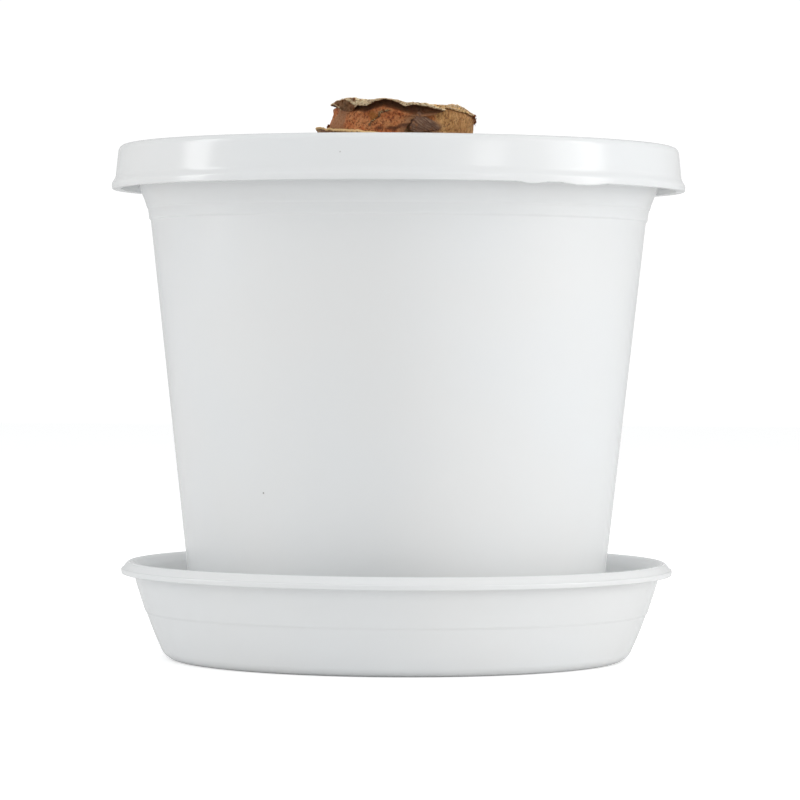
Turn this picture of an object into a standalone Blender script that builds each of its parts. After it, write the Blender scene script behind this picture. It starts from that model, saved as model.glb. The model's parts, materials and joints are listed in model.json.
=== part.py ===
"""An amaryllis bulb planted in a white plastic pot that stands in its saucer.

Units are metres, +Z is up, and the origin is the middle of the saucer's foot on the table.
Every piece is turned about or lofted around the pot's axis; the front of the plant faces -Y.
Run with: blender --background --python part.py
"""

from math import cos, pi, radians, sin

import bmesh
import bpy
from mathutils import Vector, noise

MM = 0.001
SEGMENTS = 64          # sides of every round piece
GAP = 0.3 * MM         # air between pieces that rest on each other

# Saucer
SAUCER_WALL = 1.4 * MM
SAUCER_FOOT_HEIGHT = 0.8 * MM
SAUCER_FOOT_OUTER = 62.6 * MM
SAUCER_FOOT_INNER = 57.0 * MM
SAUCER_CORNER = (66.0 * MM, 3.4 * MM)      # radius and height where the base curve meets the wall
SAUCER_LINE = (69.6 * MM, 13.2 * MM)       # the moulded line round the wall
SAUCER_LINE_STEP = 0.35 * MM
SAUCER_WALL_TOP = (73.0 * MM, 22.2 * MM)
SAUCER_LIP_RADIUS = 77.0 * MM
SAUCER_LIP_BOTTOM = 23.3 * MM
SAUCER_LIP_SHOULDER = 25.0 * MM            # where the lip's upright face ends
SAUCER_CREST = (74.7 * MM, 27.2 * MM)

# Pot
POT_WALL = 1.4 * MM
POT_FOOT_HEIGHT = 3.0 * MM                 # the floor is raised so that water can drain
POT_FLOOR = 1.6 * MM
POT_FOOT_WIDTH = 4.5 * MM
DRAFT = 0.1095                             # the wall's lean, as a slope
STEP_RADIUS = 69.1 * MM
STEP_HEIGHT = 121.9 * MM
LOWER_LINE = (69.4 * MM, 122.4 * MM)
UPPER_LINE = (69.9 * MM, 125.2 * MM)
THROAT = ((70.2 * MM, 125.8 * MM), (70.8 * MM, 127.3 * MM), (71.7 * MM, 129.2 * MM), (72.5 * MM, 132.0 * MM))
COLLAR_THROAT_RADIUS = 72.8 * MM           # the wall inside the collar
LIP_RADIUS = 80.0 * MM
LIP_BOTTOM = 130.3 * MM
LIP_TOP = 132.2 * MM
LIP_FLARE_TOP = 133.5 * MM
BAND_FOOT_RADIUS = 78.75 * MM
BAND_TOP_RADIUS = 78.4 * MM
RIM_TOP = 142.9 * MM
RIM_OUTER_ROUND = 2.1 * MM
RIM_INNER_ROUND = 1.2 * MM
DRAIN_HOLES = 8
DRAIN_HOLE_RADIUS = 2.4 * MM
DRAIN_RING_RADIUS = 40.0 * MM

# Soil
SOIL_LEVEL = 123.5 * MM
SOIL_LUMP = 2.4 * MM                       # height of the larger lumps
SOIL_CRUMB = 1.5 * MM
SOIL_RINGS = 10
ROOT_POCKET_RADIUS = 27.0 * MM
ROOT_POCKET_FLOOR = 47.0 * MM

# Bulb, whose axis stands a little to the right of the pot's
BULB_AXIS = Vector((1.0 * MM, 0.0, 0.0))
BURIED_PROFILE = (                         # radius and height, from the basal plate to the soil
    (10.0 * MM, 61.6 * MM), (17.0 * MM, 62.2 * MM), (19.4 * MM, 64.0 * MM), (20.6 * MM, 66.4 * MM),
    (27.0 * MM, 69.2 * MM), (33.6 * MM, 74.6 * MM), (38.6 * MM, 82.4 * MM), (41.2 * MM, 91.2 * MM),
    (42.0 * MM, 100.0 * MM), (41.2 * MM, 108.0 * MM), (39.0 * MM, 115.6 * MM), (35.8 * MM, 122.4 * MM),
    (33.4 * MM, 126.4 * MM),
)
SHOULDER_PROFILE = (
    (31.9 * MM, 128.6 * MM), (30.2 * MM, 131.0 * MM), (27.4 * MM, 135.0 * MM), (25.2 * MM, 138.2 * MM),
    (23.4 * MM, 141.2 * MM),
)
RELIEF_START = 126.4 * MM                  # the skin is plain below this, where the soil lies against it
RELIEF_FULL = 131.0 * MM
SKIN_THICKNESS = 1.1 * MM                  # the outermost dry skin, which ends in a torn edge
# Height of each torn or cut edge by the angle round the bulb: 0 is right, 90 back, 180 left, 270 front
SKIN_EDGE = ((0, 133.2), (24, 135.4), (58, 136.4), (80, 133.0), (118, 134.2), (150, 136.8), (172, 134.0),
             (205, 133.0), (236, 135.2), (262, 136.9), (281, 132.8), (318, 134.6), (341, 136.2))
TUNIC_EDGE = ((0, 143.6), (40, 145.0), (80, 142.8), (120, 145.6), (155, 144.8), (178, 148.0), (192, 148.2),
              (215, 147.3), (245, 146.6), (265, 144.6), (300, 143.2), (335, 145.2))
NECK_EDGE = ((0, 151.8), (20, 153.6), (55, 154.6), (95, 153.4), (130, 155.2), (165, 156.0), (186, 154.4),
             (215, 155.9), (237, 154.1), (257, 155.8), (285, 153.9), (312, 152.7), (330, 154.2), (347, 153.0))
NECK_SCALES = (                            # radius, how far its edge stands under the neck's edge
    (15.6 * MM, 0.8 * MM), (11.9 * MM, 2.2 * MM), (8.3 * MM, 1.5 * MM),
)
NECK_RADIUS = 19.4 * MM
NECK_FLARE = 1.3 * MM                      # how far the neck spreads at its foot, on the left
TORN_SKIN = (                              # out from the neck, more at the torn tip, down from the torn edge
    (2.2 * MM, 1.6 * MM, 1.6 * MM), (1.7 * MM, 3.4 * MM, 0.0), (0.9 * MM, 3.0 * MM, 0.0),
    (0.3 * MM, NECK_FLARE, 1.4 * MM), (0.0, NECK_FLARE, -0.4 * MM),
)
CUT_EDGE = (                               # out from the neck, and down from its cut edge, which curls out
    (-0.2 * MM, 2.4 * MM), (1.1 * MM, 0.5 * MM), (0.4 * MM, 0.0), (-1.0 * MM, 0.2 * MM),
)
SCALE_THICKNESS = 1.0 * MM
SCALE_GROOVE = 3.4 * MM                    # depth of the gaps between the cut scales
PLATE_HOLLOW = 0.4 * MM                    # the basal plate is slightly hollow in its middle
ROOTS = 14
ROOT_LENGTH = 12.0 * MM
ROOT_RADIUS = 1.5 * MM
ROOT_RING_RADIUS = 14.5 * MM


def clear_scene():
    for obj in list(bpy.data.objects):
        bpy.data.objects.remove(obj)


def new_collection(name, hidden=False):
    made = bpy.data.collections.new(name)
    made.hide_render = hidden
    bpy.context.scene.collection.children.link(made)
    return made


def material(name, colour, roughness):
    made = bpy.data.materials.new(name)
    made.use_nodes = True
    shader = made.node_tree.nodes["Principled BSDF"]
    shader.inputs["Base Color"].default_value = (*colour, 1.0)
    shader.inputs["Roughness"].default_value = roughness
    made.diffuse_color = (*colour, 1.0)
    return made


def add_object(name, mesh, collection, surface=None):
    obj = bpy.data.objects.new(name, mesh)
    collection.objects.link(obj)
    if surface:
        mesh.materials.append(surface)
    return obj


def arc(centre, radius, start, end, steps):
    """Points on an arc in the radius-height plane, from one angle in degrees to another."""
    turn = (end - start) / steps
    angles = [radians(start + turn * i) for i in range(steps + 1)]
    return [(centre[0] + radius * cos(a), centre[1] + radius * sin(a)) for a in angles]


def turned(name, profile, collection, surface):
    """A solid of revolution: the profile runs up the inside, over the top and down the outside."""
    mesh = bpy.data.meshes.new(name)
    edges = [(i, i + 1) for i in range(len(profile) - 1)]
    mesh.from_pydata([(r, 0.0, z) for r, z in profile], edges, [])
    obj = add_object(name, mesh, collection, surface)
    screw = obj.modifiers.new("turn", "SCREW")
    screw.axis = "Z"
    screw.steps = SEGMENTS
    screw.render_steps = SEGMENTS
    screw.use_merge_vertices = True
    screw.merge_threshold = 0.00001
    return obj


def loft(name, rings, collection, surface):
    """A closed skin through rings of points, with a single point as its first and last ring."""
    shape = bmesh.new()
    layers = [[shape.verts.new(point) for point in ring] for ring in rings]
    for lower, upper in zip(layers, layers[1:]):
        for i in range(SEGMENTS):
            j = (i + 1) % SEGMENTS
            corners = [lower[i % len(lower)], lower[j % len(lower)]]
            corners += [upper[j % len(upper)], upper[i % len(upper)]]
            shape.faces.new(list(dict.fromkeys(corners)))
    mesh = bpy.data.meshes.new(name)
    shape.to_mesh(mesh)
    shape.free()
    mesh.shade_smooth()
    mesh.set_sharp_from_angle(angle=radians(40))
    return add_object(name, mesh, collection, surface)


def ring_angles():
    return [2 * pi * i / SEGMENTS for i in range(SEGMENTS)]


def smooth_step(low, high, value):
    share = min(1.0, max(0.0, (value - low) / (high - low)))
    return share * share * (3 - 2 * share)


def around(table, angle):
    """The value at an angle in radians, from rows of (degrees, value) that close on themselves."""
    degrees = (angle * 180 / pi) % 360
    rows = [*table, (table[0][0] + 360, table[0][1])]
    for (start, low), (end, high) in zip(rows, rows[1:]):
        if start <= degrees <= end:
            return low + (high - low) * smooth_step(start, end, degrees)
    return table[0][1]


def saucer_profile():
    """From the middle of the dish's floor, up the inside, over the lip and back under the foot."""
    floor = SAUCER_FOOT_HEIGHT + SAUCER_WALL
    corner_radius, corner_height = SAUCER_CORNER
    line_radius, line_height = SAUCER_LINE
    top_radius, top_height = SAUCER_WALL_TOP
    crest_radius, crest_height = SAUCER_CREST
    inside = [
        (0.0, floor),
        (SAUCER_FOOT_OUTER - 2 * SAUCER_WALL, floor),
        (SAUCER_FOOT_OUTER, floor + 0.7 * MM),
        (corner_radius - SAUCER_WALL, corner_height + 0.6 * MM),
        (line_radius - SAUCER_WALL, line_height),
        (top_radius - SAUCER_WALL, top_height),
        (top_radius - 0.9 * MM, crest_height - 1.0 * MM),
        (crest_radius - 1.4 * MM, crest_height - 0.2 * MM),
    ]
    lip = [
        (crest_radius, crest_height),
        (SAUCER_LIP_RADIUS - 0.5 * MM, SAUCER_LIP_SHOULDER + 0.5 * MM),
        (SAUCER_LIP_RADIUS - 0.05 * MM, SAUCER_LIP_SHOULDER),
        (SAUCER_LIP_RADIUS, SAUCER_LIP_BOTTOM),
        (SAUCER_LIP_RADIUS - SAUCER_WALL, SAUCER_LIP_BOTTOM),
        (SAUCER_LIP_RADIUS - SAUCER_WALL - 0.2 * MM, SAUCER_LIP_SHOULDER - 0.4 * MM),
        (top_radius + 1.0 * MM, SAUCER_LIP_SHOULDER - 0.2 * MM),
    ]
    outside = [
        (top_radius, top_height),
        (line_radius + SAUCER_LINE_STEP, line_height + 0.3 * MM),
        (line_radius, line_height - 0.3 * MM),
        (corner_radius, corner_height),
        (corner_radius - 1.0 * MM, 1.2 * MM),
        (SAUCER_FOOT_OUTER, 0.0),
        (SAUCER_FOOT_INNER, 0.0),
        (SAUCER_FOOT_INNER - 0.8 * MM, SAUCER_FOOT_HEIGHT),
        (0.0, SAUCER_FOOT_HEIGHT),
    ]
    return inside + lip + outside


def pot_base():
    return SAUCER_FOOT_HEIGHT + SAUCER_WALL + GAP


def pot_floor_top():
    return pot_base() + POT_FOOT_HEIGHT + POT_FLOOR


def wall_radius(height):
    """Outer radius of the tapering wall under the lower moulded line."""
    return STEP_RADIUS - DRAFT * (STEP_HEIGHT - height)


def pot_profile():
    """From the middle of the floor, up the inside, over the collar, under it and down the outside."""
    base = pot_base()
    floor = pot_floor_top()
    foot_radius = wall_radius(base)
    inside = [
        (0.0, floor),
        (wall_radius(floor) - POT_WALL - 1.5 * MM, floor),
        (wall_radius(floor) - POT_WALL, floor + 1.5 * MM),
        (STEP_RADIUS - POT_WALL, STEP_HEIGHT),
        (UPPER_LINE[0] - POT_WALL, UPPER_LINE[1]),
        *[(r - POT_WALL, z) for r, z in THROAT],
        *arc((COLLAR_THROAT_RADIUS - POT_WALL + RIM_INNER_ROUND, RIM_TOP - RIM_INNER_ROUND),
             RIM_INNER_ROUND, 180, 90, 2),
    ]
    collar = [
        *arc((BAND_TOP_RADIUS - RIM_OUTER_ROUND, RIM_TOP - RIM_OUTER_ROUND), RIM_OUTER_ROUND, 90, 0, 4),
        (BAND_FOOT_RADIUS, LIP_FLARE_TOP),
        (LIP_RADIUS - 0.15 * MM, LIP_TOP),
        (LIP_RADIUS, LIP_TOP - 0.4 * MM),
        (LIP_RADIUS, LIP_BOTTOM + 0.3 * MM),
        (LIP_RADIUS - 0.3 * MM, LIP_BOTTOM),
        (BAND_FOOT_RADIUS - POT_WALL + 0.5 * MM, LIP_BOTTOM),
        (BAND_FOOT_RADIUS - POT_WALL, LIP_FLARE_TOP - 0.6 * MM),
        (BAND_TOP_RADIUS - POT_WALL, RIM_TOP - POT_WALL - 0.6 * MM),
        (BAND_TOP_RADIUS - POT_WALL - 0.6 * MM, RIM_TOP - POT_WALL),
        (COLLAR_THROAT_RADIUS, RIM_TOP - POT_WALL),
    ]
    outside = [
        *reversed(THROAT),
        UPPER_LINE,
        LOWER_LINE,
        (STEP_RADIUS, STEP_HEIGHT),
        (foot_radius + 0.1 * MM, base + 1.0 * MM),
        (foot_radius - 0.7 * MM, base),
        (foot_radius - POT_FOOT_WIDTH, base),
        (foot_radius - POT_FOOT_WIDTH - 0.5 * MM, base + POT_FOOT_HEIGHT),
        (0.0, base + POT_FOOT_HEIGHT),
    ]
    return inside + collar + outside


def drain_hole(index, collection):
    """A cutter through the pot's floor, on the ring of drain holes."""
    angle = 2 * pi * (index + 0.5) / DRAIN_HOLES
    shape = bmesh.new()
    bmesh.ops.create_cone(shape, cap_ends=True, segments=12, radius1=DRAIN_HOLE_RADIUS,
                          radius2=DRAIN_HOLE_RADIUS, depth=4 * POT_FLOOR)
    mesh = bpy.data.meshes.new("drain_hole")
    shape.to_mesh(mesh)
    shape.free()
    cutter = add_object(f"drain_hole_{index + 1}", mesh, collection)
    cutter.location = (DRAIN_RING_RADIUS * cos(angle), DRAIN_RING_RADIUS * sin(angle),
                       pot_floor_top() - POT_FLOOR / 2)
    cutter.hide_render = True
    cutter.display_type = "WIRE"
    return cutter


def build_pot(collection, cutters, surface):
    pot = turned("pot", pot_profile(), collection, surface)
    for i in range(DRAIN_HOLES):
        drain_hole(i, cutters)
    cut = pot.modifiers.new("drain", "BOOLEAN")
    cut.operation = "DIFFERENCE"
    cut.operand_type = "COLLECTION"
    cut.collection = cutters
    return pot


def skin_radius(height):
    """The bulb's plain radius at a height, from its profile."""
    profile = BURIED_PROFILE + SHOULDER_PROFILE
    for (r0, z0), (r1, z1) in zip(profile, profile[1:]):
        if z0 <= height <= z1:
            return r0 + (r1 - r0) * (height - z0) / (z1 - z0)
    return profile[-1][0]


def soil_height(radius, angle, share):
    """Lumps and crumbs; share is 0 at the pot's wall and 1 at the bulb, where the soil is banked up."""
    spot = Vector((radius * cos(angle), radius * sin(angle), 0.0)) / MM
    lump = noise.noise(spot / 13.0) * SOIL_LUMP
    crumb = noise.noise(spot / 5.1 + Vector((40, 7, 3))) * SOIL_CRUMB
    bank = 1.2 * MM * share * share - 0.8 * MM * (1 - share) ** 4
    return SOIL_LEVEL + bank + (lump + crumb) * (1 - 0.6 * share ** 3)


def round_ring(radius, height, centre=Vector()):
    return [centre + Vector((radius * cos(a), radius * sin(a), height)) for a in ring_angles()]


def build_soil(collection, surface):
    """The soil: a plug with the pot's inner shape, a lumpy top, and a hollow where the bulb sits."""
    floor = pot_floor_top() + GAP
    corner = 1.5 * MM
    wall_at = lambda z: wall_radius(z) - POT_WALL - 1.5 * GAP
    rings = [
        [Vector((0.0, 0.0, floor))],
        round_ring(wall_at(floor) - corner - GAP, floor),
        round_ring(wall_at(floor + corner + GAP), floor + corner + GAP),
    ]
    for step in range(SOIL_RINGS):
        share = step / (SOIL_RINGS - 1)
        ring = []
        for a in ring_angles():
            outer = wall_at(SOIL_LEVEL - SOIL_LUMP)
            inner = skin_radius(SOIL_LEVEL - 2 * MM) + GAP
            radius = outer + (inner - outer) * share
            height = soil_height(radius, a, share)
            if step == 0:
                height = min(height, SOIL_LEVEL)
                radius = wall_at(height)
            elif step == SOIL_RINGS - 1:
                radius = skin_radius(height) + 1.5 * GAP
            ring.append(BULB_AXIS * share + Vector((radius * cos(a), radius * sin(a), height)))
        rings.append(ring)
    for radius, height in reversed(BURIED_PROFILE[4:-1]):
        rings.append(round_ring(radius + 1.5 * GAP, height, BULB_AXIS))
    rings.append(round_ring(ROOT_POCKET_RADIUS, BURIED_PROFILE[4][1] - 3 * MM, BULB_AXIS))
    rings.append(round_ring(ROOT_POCKET_RADIUS - 3 * MM, ROOT_POCKET_FLOOR, BULB_AXIS))
    rings.append([BULB_AXIS + Vector((0.0, 0.0, ROOT_POCKET_FLOOR))])
    return loft("soil", rings, collection, surface)


def ribs(angle, height):
    """Long shallow folds that run down the dry skin, and fade out where the soil begins."""
    weight = smooth_step(RELIEF_START, RELIEF_FULL, height)
    spot = Vector((3.1 * cos(angle), 3.1 * sin(angle), height / (24 * MM)))
    return weight * (1.5 * MM * noise.noise(spot) + 0.6 * MM * noise.noise(spot * 3.3))


def right_scale(angle):
    """1 where the loose dry scale wraps the right of the neck, falling to 0 at its side edges."""
    degrees = (angle * 180 / pi + 180) % 360 - 180
    return smooth_step(-58, -46, degrees) * (1 - smooth_step(62, 80, degrees))


def torn_tip(angle):
    """1 at the left, where the torn skin stands away from the neck."""
    degrees = (angle * 180 / pi) % 360
    return smooth_step(172, 186, degrees) * (1 - smooth_step(192, 236, degrees))


def bulb_ring(radius_at, height_at):
    ring = []
    for a in ring_angles():
        radius = radius_at(a)
        ring.append(BULB_AXIS + Vector((radius * cos(a), radius * sin(a), height_at(a))))
    return ring


def skin_edge(angle):
    return around(SKIN_EDGE, angle) * MM


def shoulder_rings():
    """The outermost skin up to its torn edge, and the next skin that comes out from under it."""
    def skin(height_at, inset):
        return bulb_ring(lambda a: skin_radius(height_at(a)) + ribs(a, height_at(a)) - inset, height_at)

    first, second, third, fourth, fifth = [height for radius, height in SHOULDER_PROFILE]
    return [
        skin(lambda a: first, 0.0),
        skin(lambda a: second, 0.0),
        skin(lambda a: skin_edge(a) - 0.4 * MM, 0.0),
        skin(skin_edge, 0.5 * MM),
        skin(lambda a: skin_edge(a) - 0.5 * MM, SKIN_THICKNESS),
        skin(lambda a: (skin_edge(a) + fourth) / 2, 0.8 * SKIN_THICKNESS),
        skin(lambda a: fourth, 0.6 * SKIN_THICKNESS),
        skin(lambda a: fifth, 0.3 * SKIN_THICKNESS),
    ]


def neck_edge(angle):
    return around(NECK_EDGE, angle) * MM


def tunic_edge(angle):
    return around(TUNIC_EDGE, angle) * MM


def neck_wall(angle):
    """Outer radius of the neck: not quite round, and fuller where the loose scale lies on it."""
    spot = Vector((1.3 * cos(angle), 1.3 * sin(angle), 5.0))
    return NECK_RADIUS + 0.9 * MM * noise.noise(spot) + SCALE_THICKNESS * right_scale(angle)


def neck_rings():
    """The torn skin's edge, the neck that stands out of it, and its curled dry edge."""
    def torn(out, more, down):
        return bulb_ring(lambda a: neck_wall(a) + out + more * torn_tip(a), lambda a: tunic_edge(a) - down)

    def cut(out, down):
        return bulb_ring(lambda a: neck_wall(a) + out, lambda a: neck_edge(a) - down)

    return [torn(*row) for row in TORN_SKIN] + [cut(*row) for row in CUT_EDGE]


def scale_rings(radius, below):
    """A gap and then the edge of one cut scale, with its own waves."""
    wander = lambda a: 0.7 * MM * noise.noise(Vector((1.6 * cos(a), 1.6 * sin(a), radius / MM)))
    edge = lambda a: neck_edge(a) * 0.5 + around(NECK_EDGE, a + radius * 300) * MM * 0.5 - below
    half = SCALE_THICKNESS / 2
    return [
        bulb_ring(lambda a: radius + wander(a) + half + 1.2 * MM, lambda a: edge(a) - SCALE_GROOVE),
        bulb_ring(lambda a: radius + wander(a) + half, lambda a: edge(a) - 0.3 * MM),
        bulb_ring(lambda a: radius + wander(a) - half, edge),
        bulb_ring(lambda a: radius + wander(a) - half - 0.5 * MM, lambda a: edge(a) - SCALE_GROOVE),
    ]


def root(index, collection):
    """A short dry root stub under the basal plate."""
    angle = 2 * pi * (index + 0.3 * sin(7.0 * index)) / ROOTS
    out = Vector((cos(angle), sin(angle), 0.0))
    lean = (out * (0.25 + 0.2 * sin(3.0 * index)) + Vector((0, 0, -1))).normalized()
    length = ROOT_LENGTH * (0.8 + 0.2 * cos(5.0 * index))
    top = BULB_AXIS + out * ROOT_RING_RADIUS + Vector((0, 0, BURIED_PROFILE[2][1] + 1.5 * MM))
    shape = bmesh.new()
    bmesh.ops.create_cone(shape, cap_ends=True, segments=6, radius1=0.5 * ROOT_RADIUS,
                          radius2=ROOT_RADIUS, depth=length + 3 * MM)
    mesh = bpy.data.meshes.new("root")
    shape.to_mesh(mesh)
    shape.free()
    made = add_object(f"root_{index + 1}", mesh, collection)
    made.rotation_euler = (-lean).to_track_quat("Z", "Y").to_euler()
    made.location = top + lean * (length / 2)
    return made


def build_bulb(collection, roots, surface):
    plate_height = BURIED_PROFILE[0][1] + PLATE_HOLLOW
    rings = [[BULB_AXIS + Vector((0.0, 0.0, plate_height))]]
    for radius, height in BURIED_PROFILE:
        rings.append(round_ring(radius, height, BULB_AXIS))
    rings += shoulder_rings()
    rings += neck_rings()
    for radius, below in NECK_SCALES:
        rings += scale_rings(radius, below)
    core_height = 151.0 * MM
    rings.append(bulb_ring(lambda a: 4.6 * MM, lambda a: core_height - 1.6 * MM))
    rings.append(bulb_ring(lambda a: 2.6 * MM, lambda a: core_height))
    rings.append([BULB_AXIS + Vector((0.0, 0.0, core_height - 0.4 * MM))])
    bulb = loft("bulb", rings, collection, surface)
    for i in range(ROOTS):
        root(i, roots)
    join = bulb.modifiers.new("roots", "BOOLEAN")
    join.operation = "UNION"
    join.operand_type = "COLLECTION"
    join.collection = roots
    apply_modifiers(bulb)
    for stub in list(roots.objects):
        bpy.data.objects.remove(stub)
    bpy.data.collections.remove(roots)
    return bulb


def apply_modifiers(obj):
    bpy.context.view_layer.update()
    finished = bpy.data.meshes.new_from_object(obj.evaluated_get(bpy.context.evaluated_depsgraph_get()))
    obj.modifiers.clear()
    obj.data = finished
    finished.name = obj.name


def smooth_turned(obj):
    """Smooth shading on a turned piece, with its sharp creases kept."""
    obj.modifiers["turn"].use_smooth_shade = True


def main():
    clear_scene()
    plant = new_collection("amaryllis_in_a_pot")
    cutters = new_collection("drain_holes", hidden=True)
    roots = new_collection("root_stubs")
    plastic = material("white_plastic", (0.86, 0.87, 0.87), 0.28)
    potting_soil = material("potting_soil", (0.060, 0.034, 0.020), 0.95)
    dry_skin = material("dry_bulb_skin", (0.34, 0.15, 0.075), 0.70)
    smooth_turned(turned("saucer", saucer_profile(), plant, plastic))
    smooth_turned(build_pot(plant, cutters, plastic))
    build_soil(plant, potting_soil)
    build_bulb(plant, roots, dry_skin)


main()
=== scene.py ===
# %% [markdown]
# # An amaryllis bulb in a white pot
#
# A dormant amaryllis bulb is sold like this: pushed into potting soil in a white plastic pot, with only its
# cut, dry neck standing out above the rim. The solid model of the plant already exists, and this lesson
# dresses it. We load the solids as a fixed frame, build a finer piece over each of them, give every surface
# a finish made only of nodes, and light it like a small studio.

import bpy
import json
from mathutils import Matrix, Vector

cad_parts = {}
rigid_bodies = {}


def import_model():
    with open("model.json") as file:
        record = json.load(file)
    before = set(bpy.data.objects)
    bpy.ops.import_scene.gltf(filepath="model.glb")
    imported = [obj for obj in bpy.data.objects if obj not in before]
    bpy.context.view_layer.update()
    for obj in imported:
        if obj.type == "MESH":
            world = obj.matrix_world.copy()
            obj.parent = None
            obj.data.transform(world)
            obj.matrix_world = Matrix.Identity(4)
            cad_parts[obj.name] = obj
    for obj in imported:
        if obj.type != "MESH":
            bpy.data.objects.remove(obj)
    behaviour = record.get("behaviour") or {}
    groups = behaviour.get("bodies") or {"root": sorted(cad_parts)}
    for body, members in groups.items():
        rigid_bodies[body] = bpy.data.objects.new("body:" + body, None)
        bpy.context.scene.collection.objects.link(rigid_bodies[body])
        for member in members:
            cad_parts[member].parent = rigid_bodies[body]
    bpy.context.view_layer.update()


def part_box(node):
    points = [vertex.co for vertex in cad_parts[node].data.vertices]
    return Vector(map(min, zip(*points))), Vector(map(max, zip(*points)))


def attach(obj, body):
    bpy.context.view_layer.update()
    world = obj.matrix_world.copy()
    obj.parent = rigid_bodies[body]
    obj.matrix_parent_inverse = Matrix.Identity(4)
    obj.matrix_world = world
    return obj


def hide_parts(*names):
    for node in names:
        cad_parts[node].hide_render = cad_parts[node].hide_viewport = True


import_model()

# %% Modules and units
import json
import random
from math import cos, degrees, pi, radians, sin, sqrt

import bmesh
import bpy
from mathutils import Euler, Matrix, Vector, noise

MM = 0.001
print("lengths below are in millimetres and are scaled by", MM, "when a mesh is made")

# %% [markdown]
# ## The camera first
#
# A picture of a round pot tells a lot about its camera. The rims are ellipses, and how flat each one is
# gives the height of the eye: it is level with the middle of this pot. The sizes of the near and far halves
# give the distance. Putting the camera in place first means that every later choice can be judged in the
# frame that matters.

# %% Place the camera
CAMERA_DISTANCE = 1063.7
CAMERA_HEIGHT = 88.5
SENSOR_WIDTH = 36.0
FOCAL_LENGTH = 170.96
PITCH_DOWN = radians(0.878)
TURN_RIGHT = radians(0.038)
ROLL = radians(0.305)


def make_camera():
    """A long lens, almost level, tilted a little so that the pot stands in the middle of the picture."""
    data = bpy.data.cameras.new("studio_camera")
    data.sensor_width = SENSOR_WIDTH
    data.lens = FOCAL_LENGTH
    data.clip_start = 0.01
    data.clip_end = 100.0
    camera = bpy.data.objects.new("studio_camera", data)
    bpy.context.scene.collection.objects.link(camera)
    place = Matrix.Translation((0.0, -CAMERA_DISTANCE * MM, CAMERA_HEIGHT * MM))
    turn = Matrix.Rotation(-TURN_RIGHT, 4, "Z") @ Matrix.Rotation(pi / 2 - PITCH_DOWN, 4, "X")
    camera.matrix_world = place @ turn @ Matrix.Rotation(ROLL, 4, "Z")
    bpy.context.scene.camera = camera
    return camera


camera = make_camera()
print("camera at", [round(x, 3) for x in camera.matrix_world.translation], "with a lens of", FOCAL_LENGTH)

# %% [markdown]
# ## Two ways to make a mesh
#
# Nearly everything here is either turned or bent from a sheet. A turned piece is a stack of closed rings,
# so `skin` joins rings into a closed surface. A dry scale is a sheet wrapped round the bulb, so `sheet`
# bends a flat grid with a function and keeps, beside each point, a few numbers that say what that point is:
# near a torn edge, on a curl, in a stain. Blender calls such numbers attributes, and a material can read
# them. That keeps the colours tied to the shape without painting any picture.

# %% Turn rings into a closed mesh
def finish_mesh(name, points, faces, marks=None):
    """A smooth object from points in millimetres, with its marks stored as attributes."""
    mesh = bpy.data.meshes.new(name)
    mesh.from_pydata([(x * MM, y * MM, z * MM) for x, y, z in points], [], faces)
    for mark, values in (marks or {}).items():
        mesh.attributes.new(mark, "FLOAT", "POINT").data.foreach_set("value", values)
    mesh.shade_smooth()
    obj = bpy.data.objects.new(name, mesh)
    bpy.context.scene.collection.objects.link(obj)
    return obj


def skin(name, rings):
    """Join closed rings, listed from the bottom up along the outside; a ring of one point is a pole."""
    points = [point for ring in rings for point in ring]
    faces = []
    start = 0
    for low, high in zip(rings, rings[1:]):
        above = start + len(low)
        for i in range(max(len(low), len(high))):
            j = i + 1
            lower = [start + i % len(low), start + j % len(low)]
            upper = [above + j % len(high), above + i % len(high)]
            faces.append(tuple(dict.fromkeys(lower + upper)))
        start = above
    return finish_mesh(name, points, faces)


print("two rings of 8 points are joined by 8 faces, and a ring and a pole by 8 triangles")


# %% Bend a grid into a sheet
def sheet(name, columns, rows, place, marks=(), closed=False):
    """place(u, v) returns x, y, z and one value for each mark; u runs round the bulb and v runs up."""
    points, values = [], [[] for mark in marks]
    across = columns if closed else columns + 1
    for row in range(rows + 1):
        for column in range(across):
            x, y, z, *rest = place(column / columns, row / rows)
            points.append((x, y, z))
            for kept, value in zip(values, rest):
                kept.append(value)
    faces = []
    for row in range(rows):
        for column in range(columns):
            left, right = row * across + column, row * across + (column + 1) % across
            faces.append((left, right, right + across, left + across))
    return finish_mesh(name, points, faces, dict(zip(marks, values)))


print("4 by 3 squares need", 5 * 4, "points as an open sheet and", 4 * 4, "when it closes into a ring")


# %% Small helpers for shapes
def blend_step(low, high, value):
    """0 below low, 1 above high, and a smooth change between them."""
    share = min(1.0, max(0.0, (value - low) / (high - low)))
    return share * share * (3 - 2 * share)


def hump(centre, width, value):
    """1 at the centre, falling smoothly to 0 at that width on either side."""
    return 1.0 - blend_step(0.0, width, abs(value - centre))


def rough(x, y, z, octaves=3):
    """Fractal noise, about -1 to 1, that gives the same value at the same place every time."""
    return noise.fractal(Vector((x, y, z)), 1.0, 2.0, octaves)


def turns(sides):
    """The angles of the points of a ring."""
    return [2 * pi * i / sides for i in range(sides)]


def ring(radius, height, sides):
    return [(radius * cos(angle), radius * sin(angle), height) for angle in turns(sides)]


print("a hump of width 2 at 1 is", hump(0, 2, 1), "one from its centre")

# %% [markdown]
# ## Rounding a profile
#
# Moulded plastic has no sharp corners, because a mould can't fill them and a hand would feel them. A turned
# piece starts as a short list of corners. Each corner is a radius, a height and how far back it is cut, and
# `rounded` replaces it with a small curve. This gives soft highlights along every edge, which a plain Bevel
# would give too, but here each corner keeps its own size.

# %% Round the corners of a profile
CORNER_STEPS = 5


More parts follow.
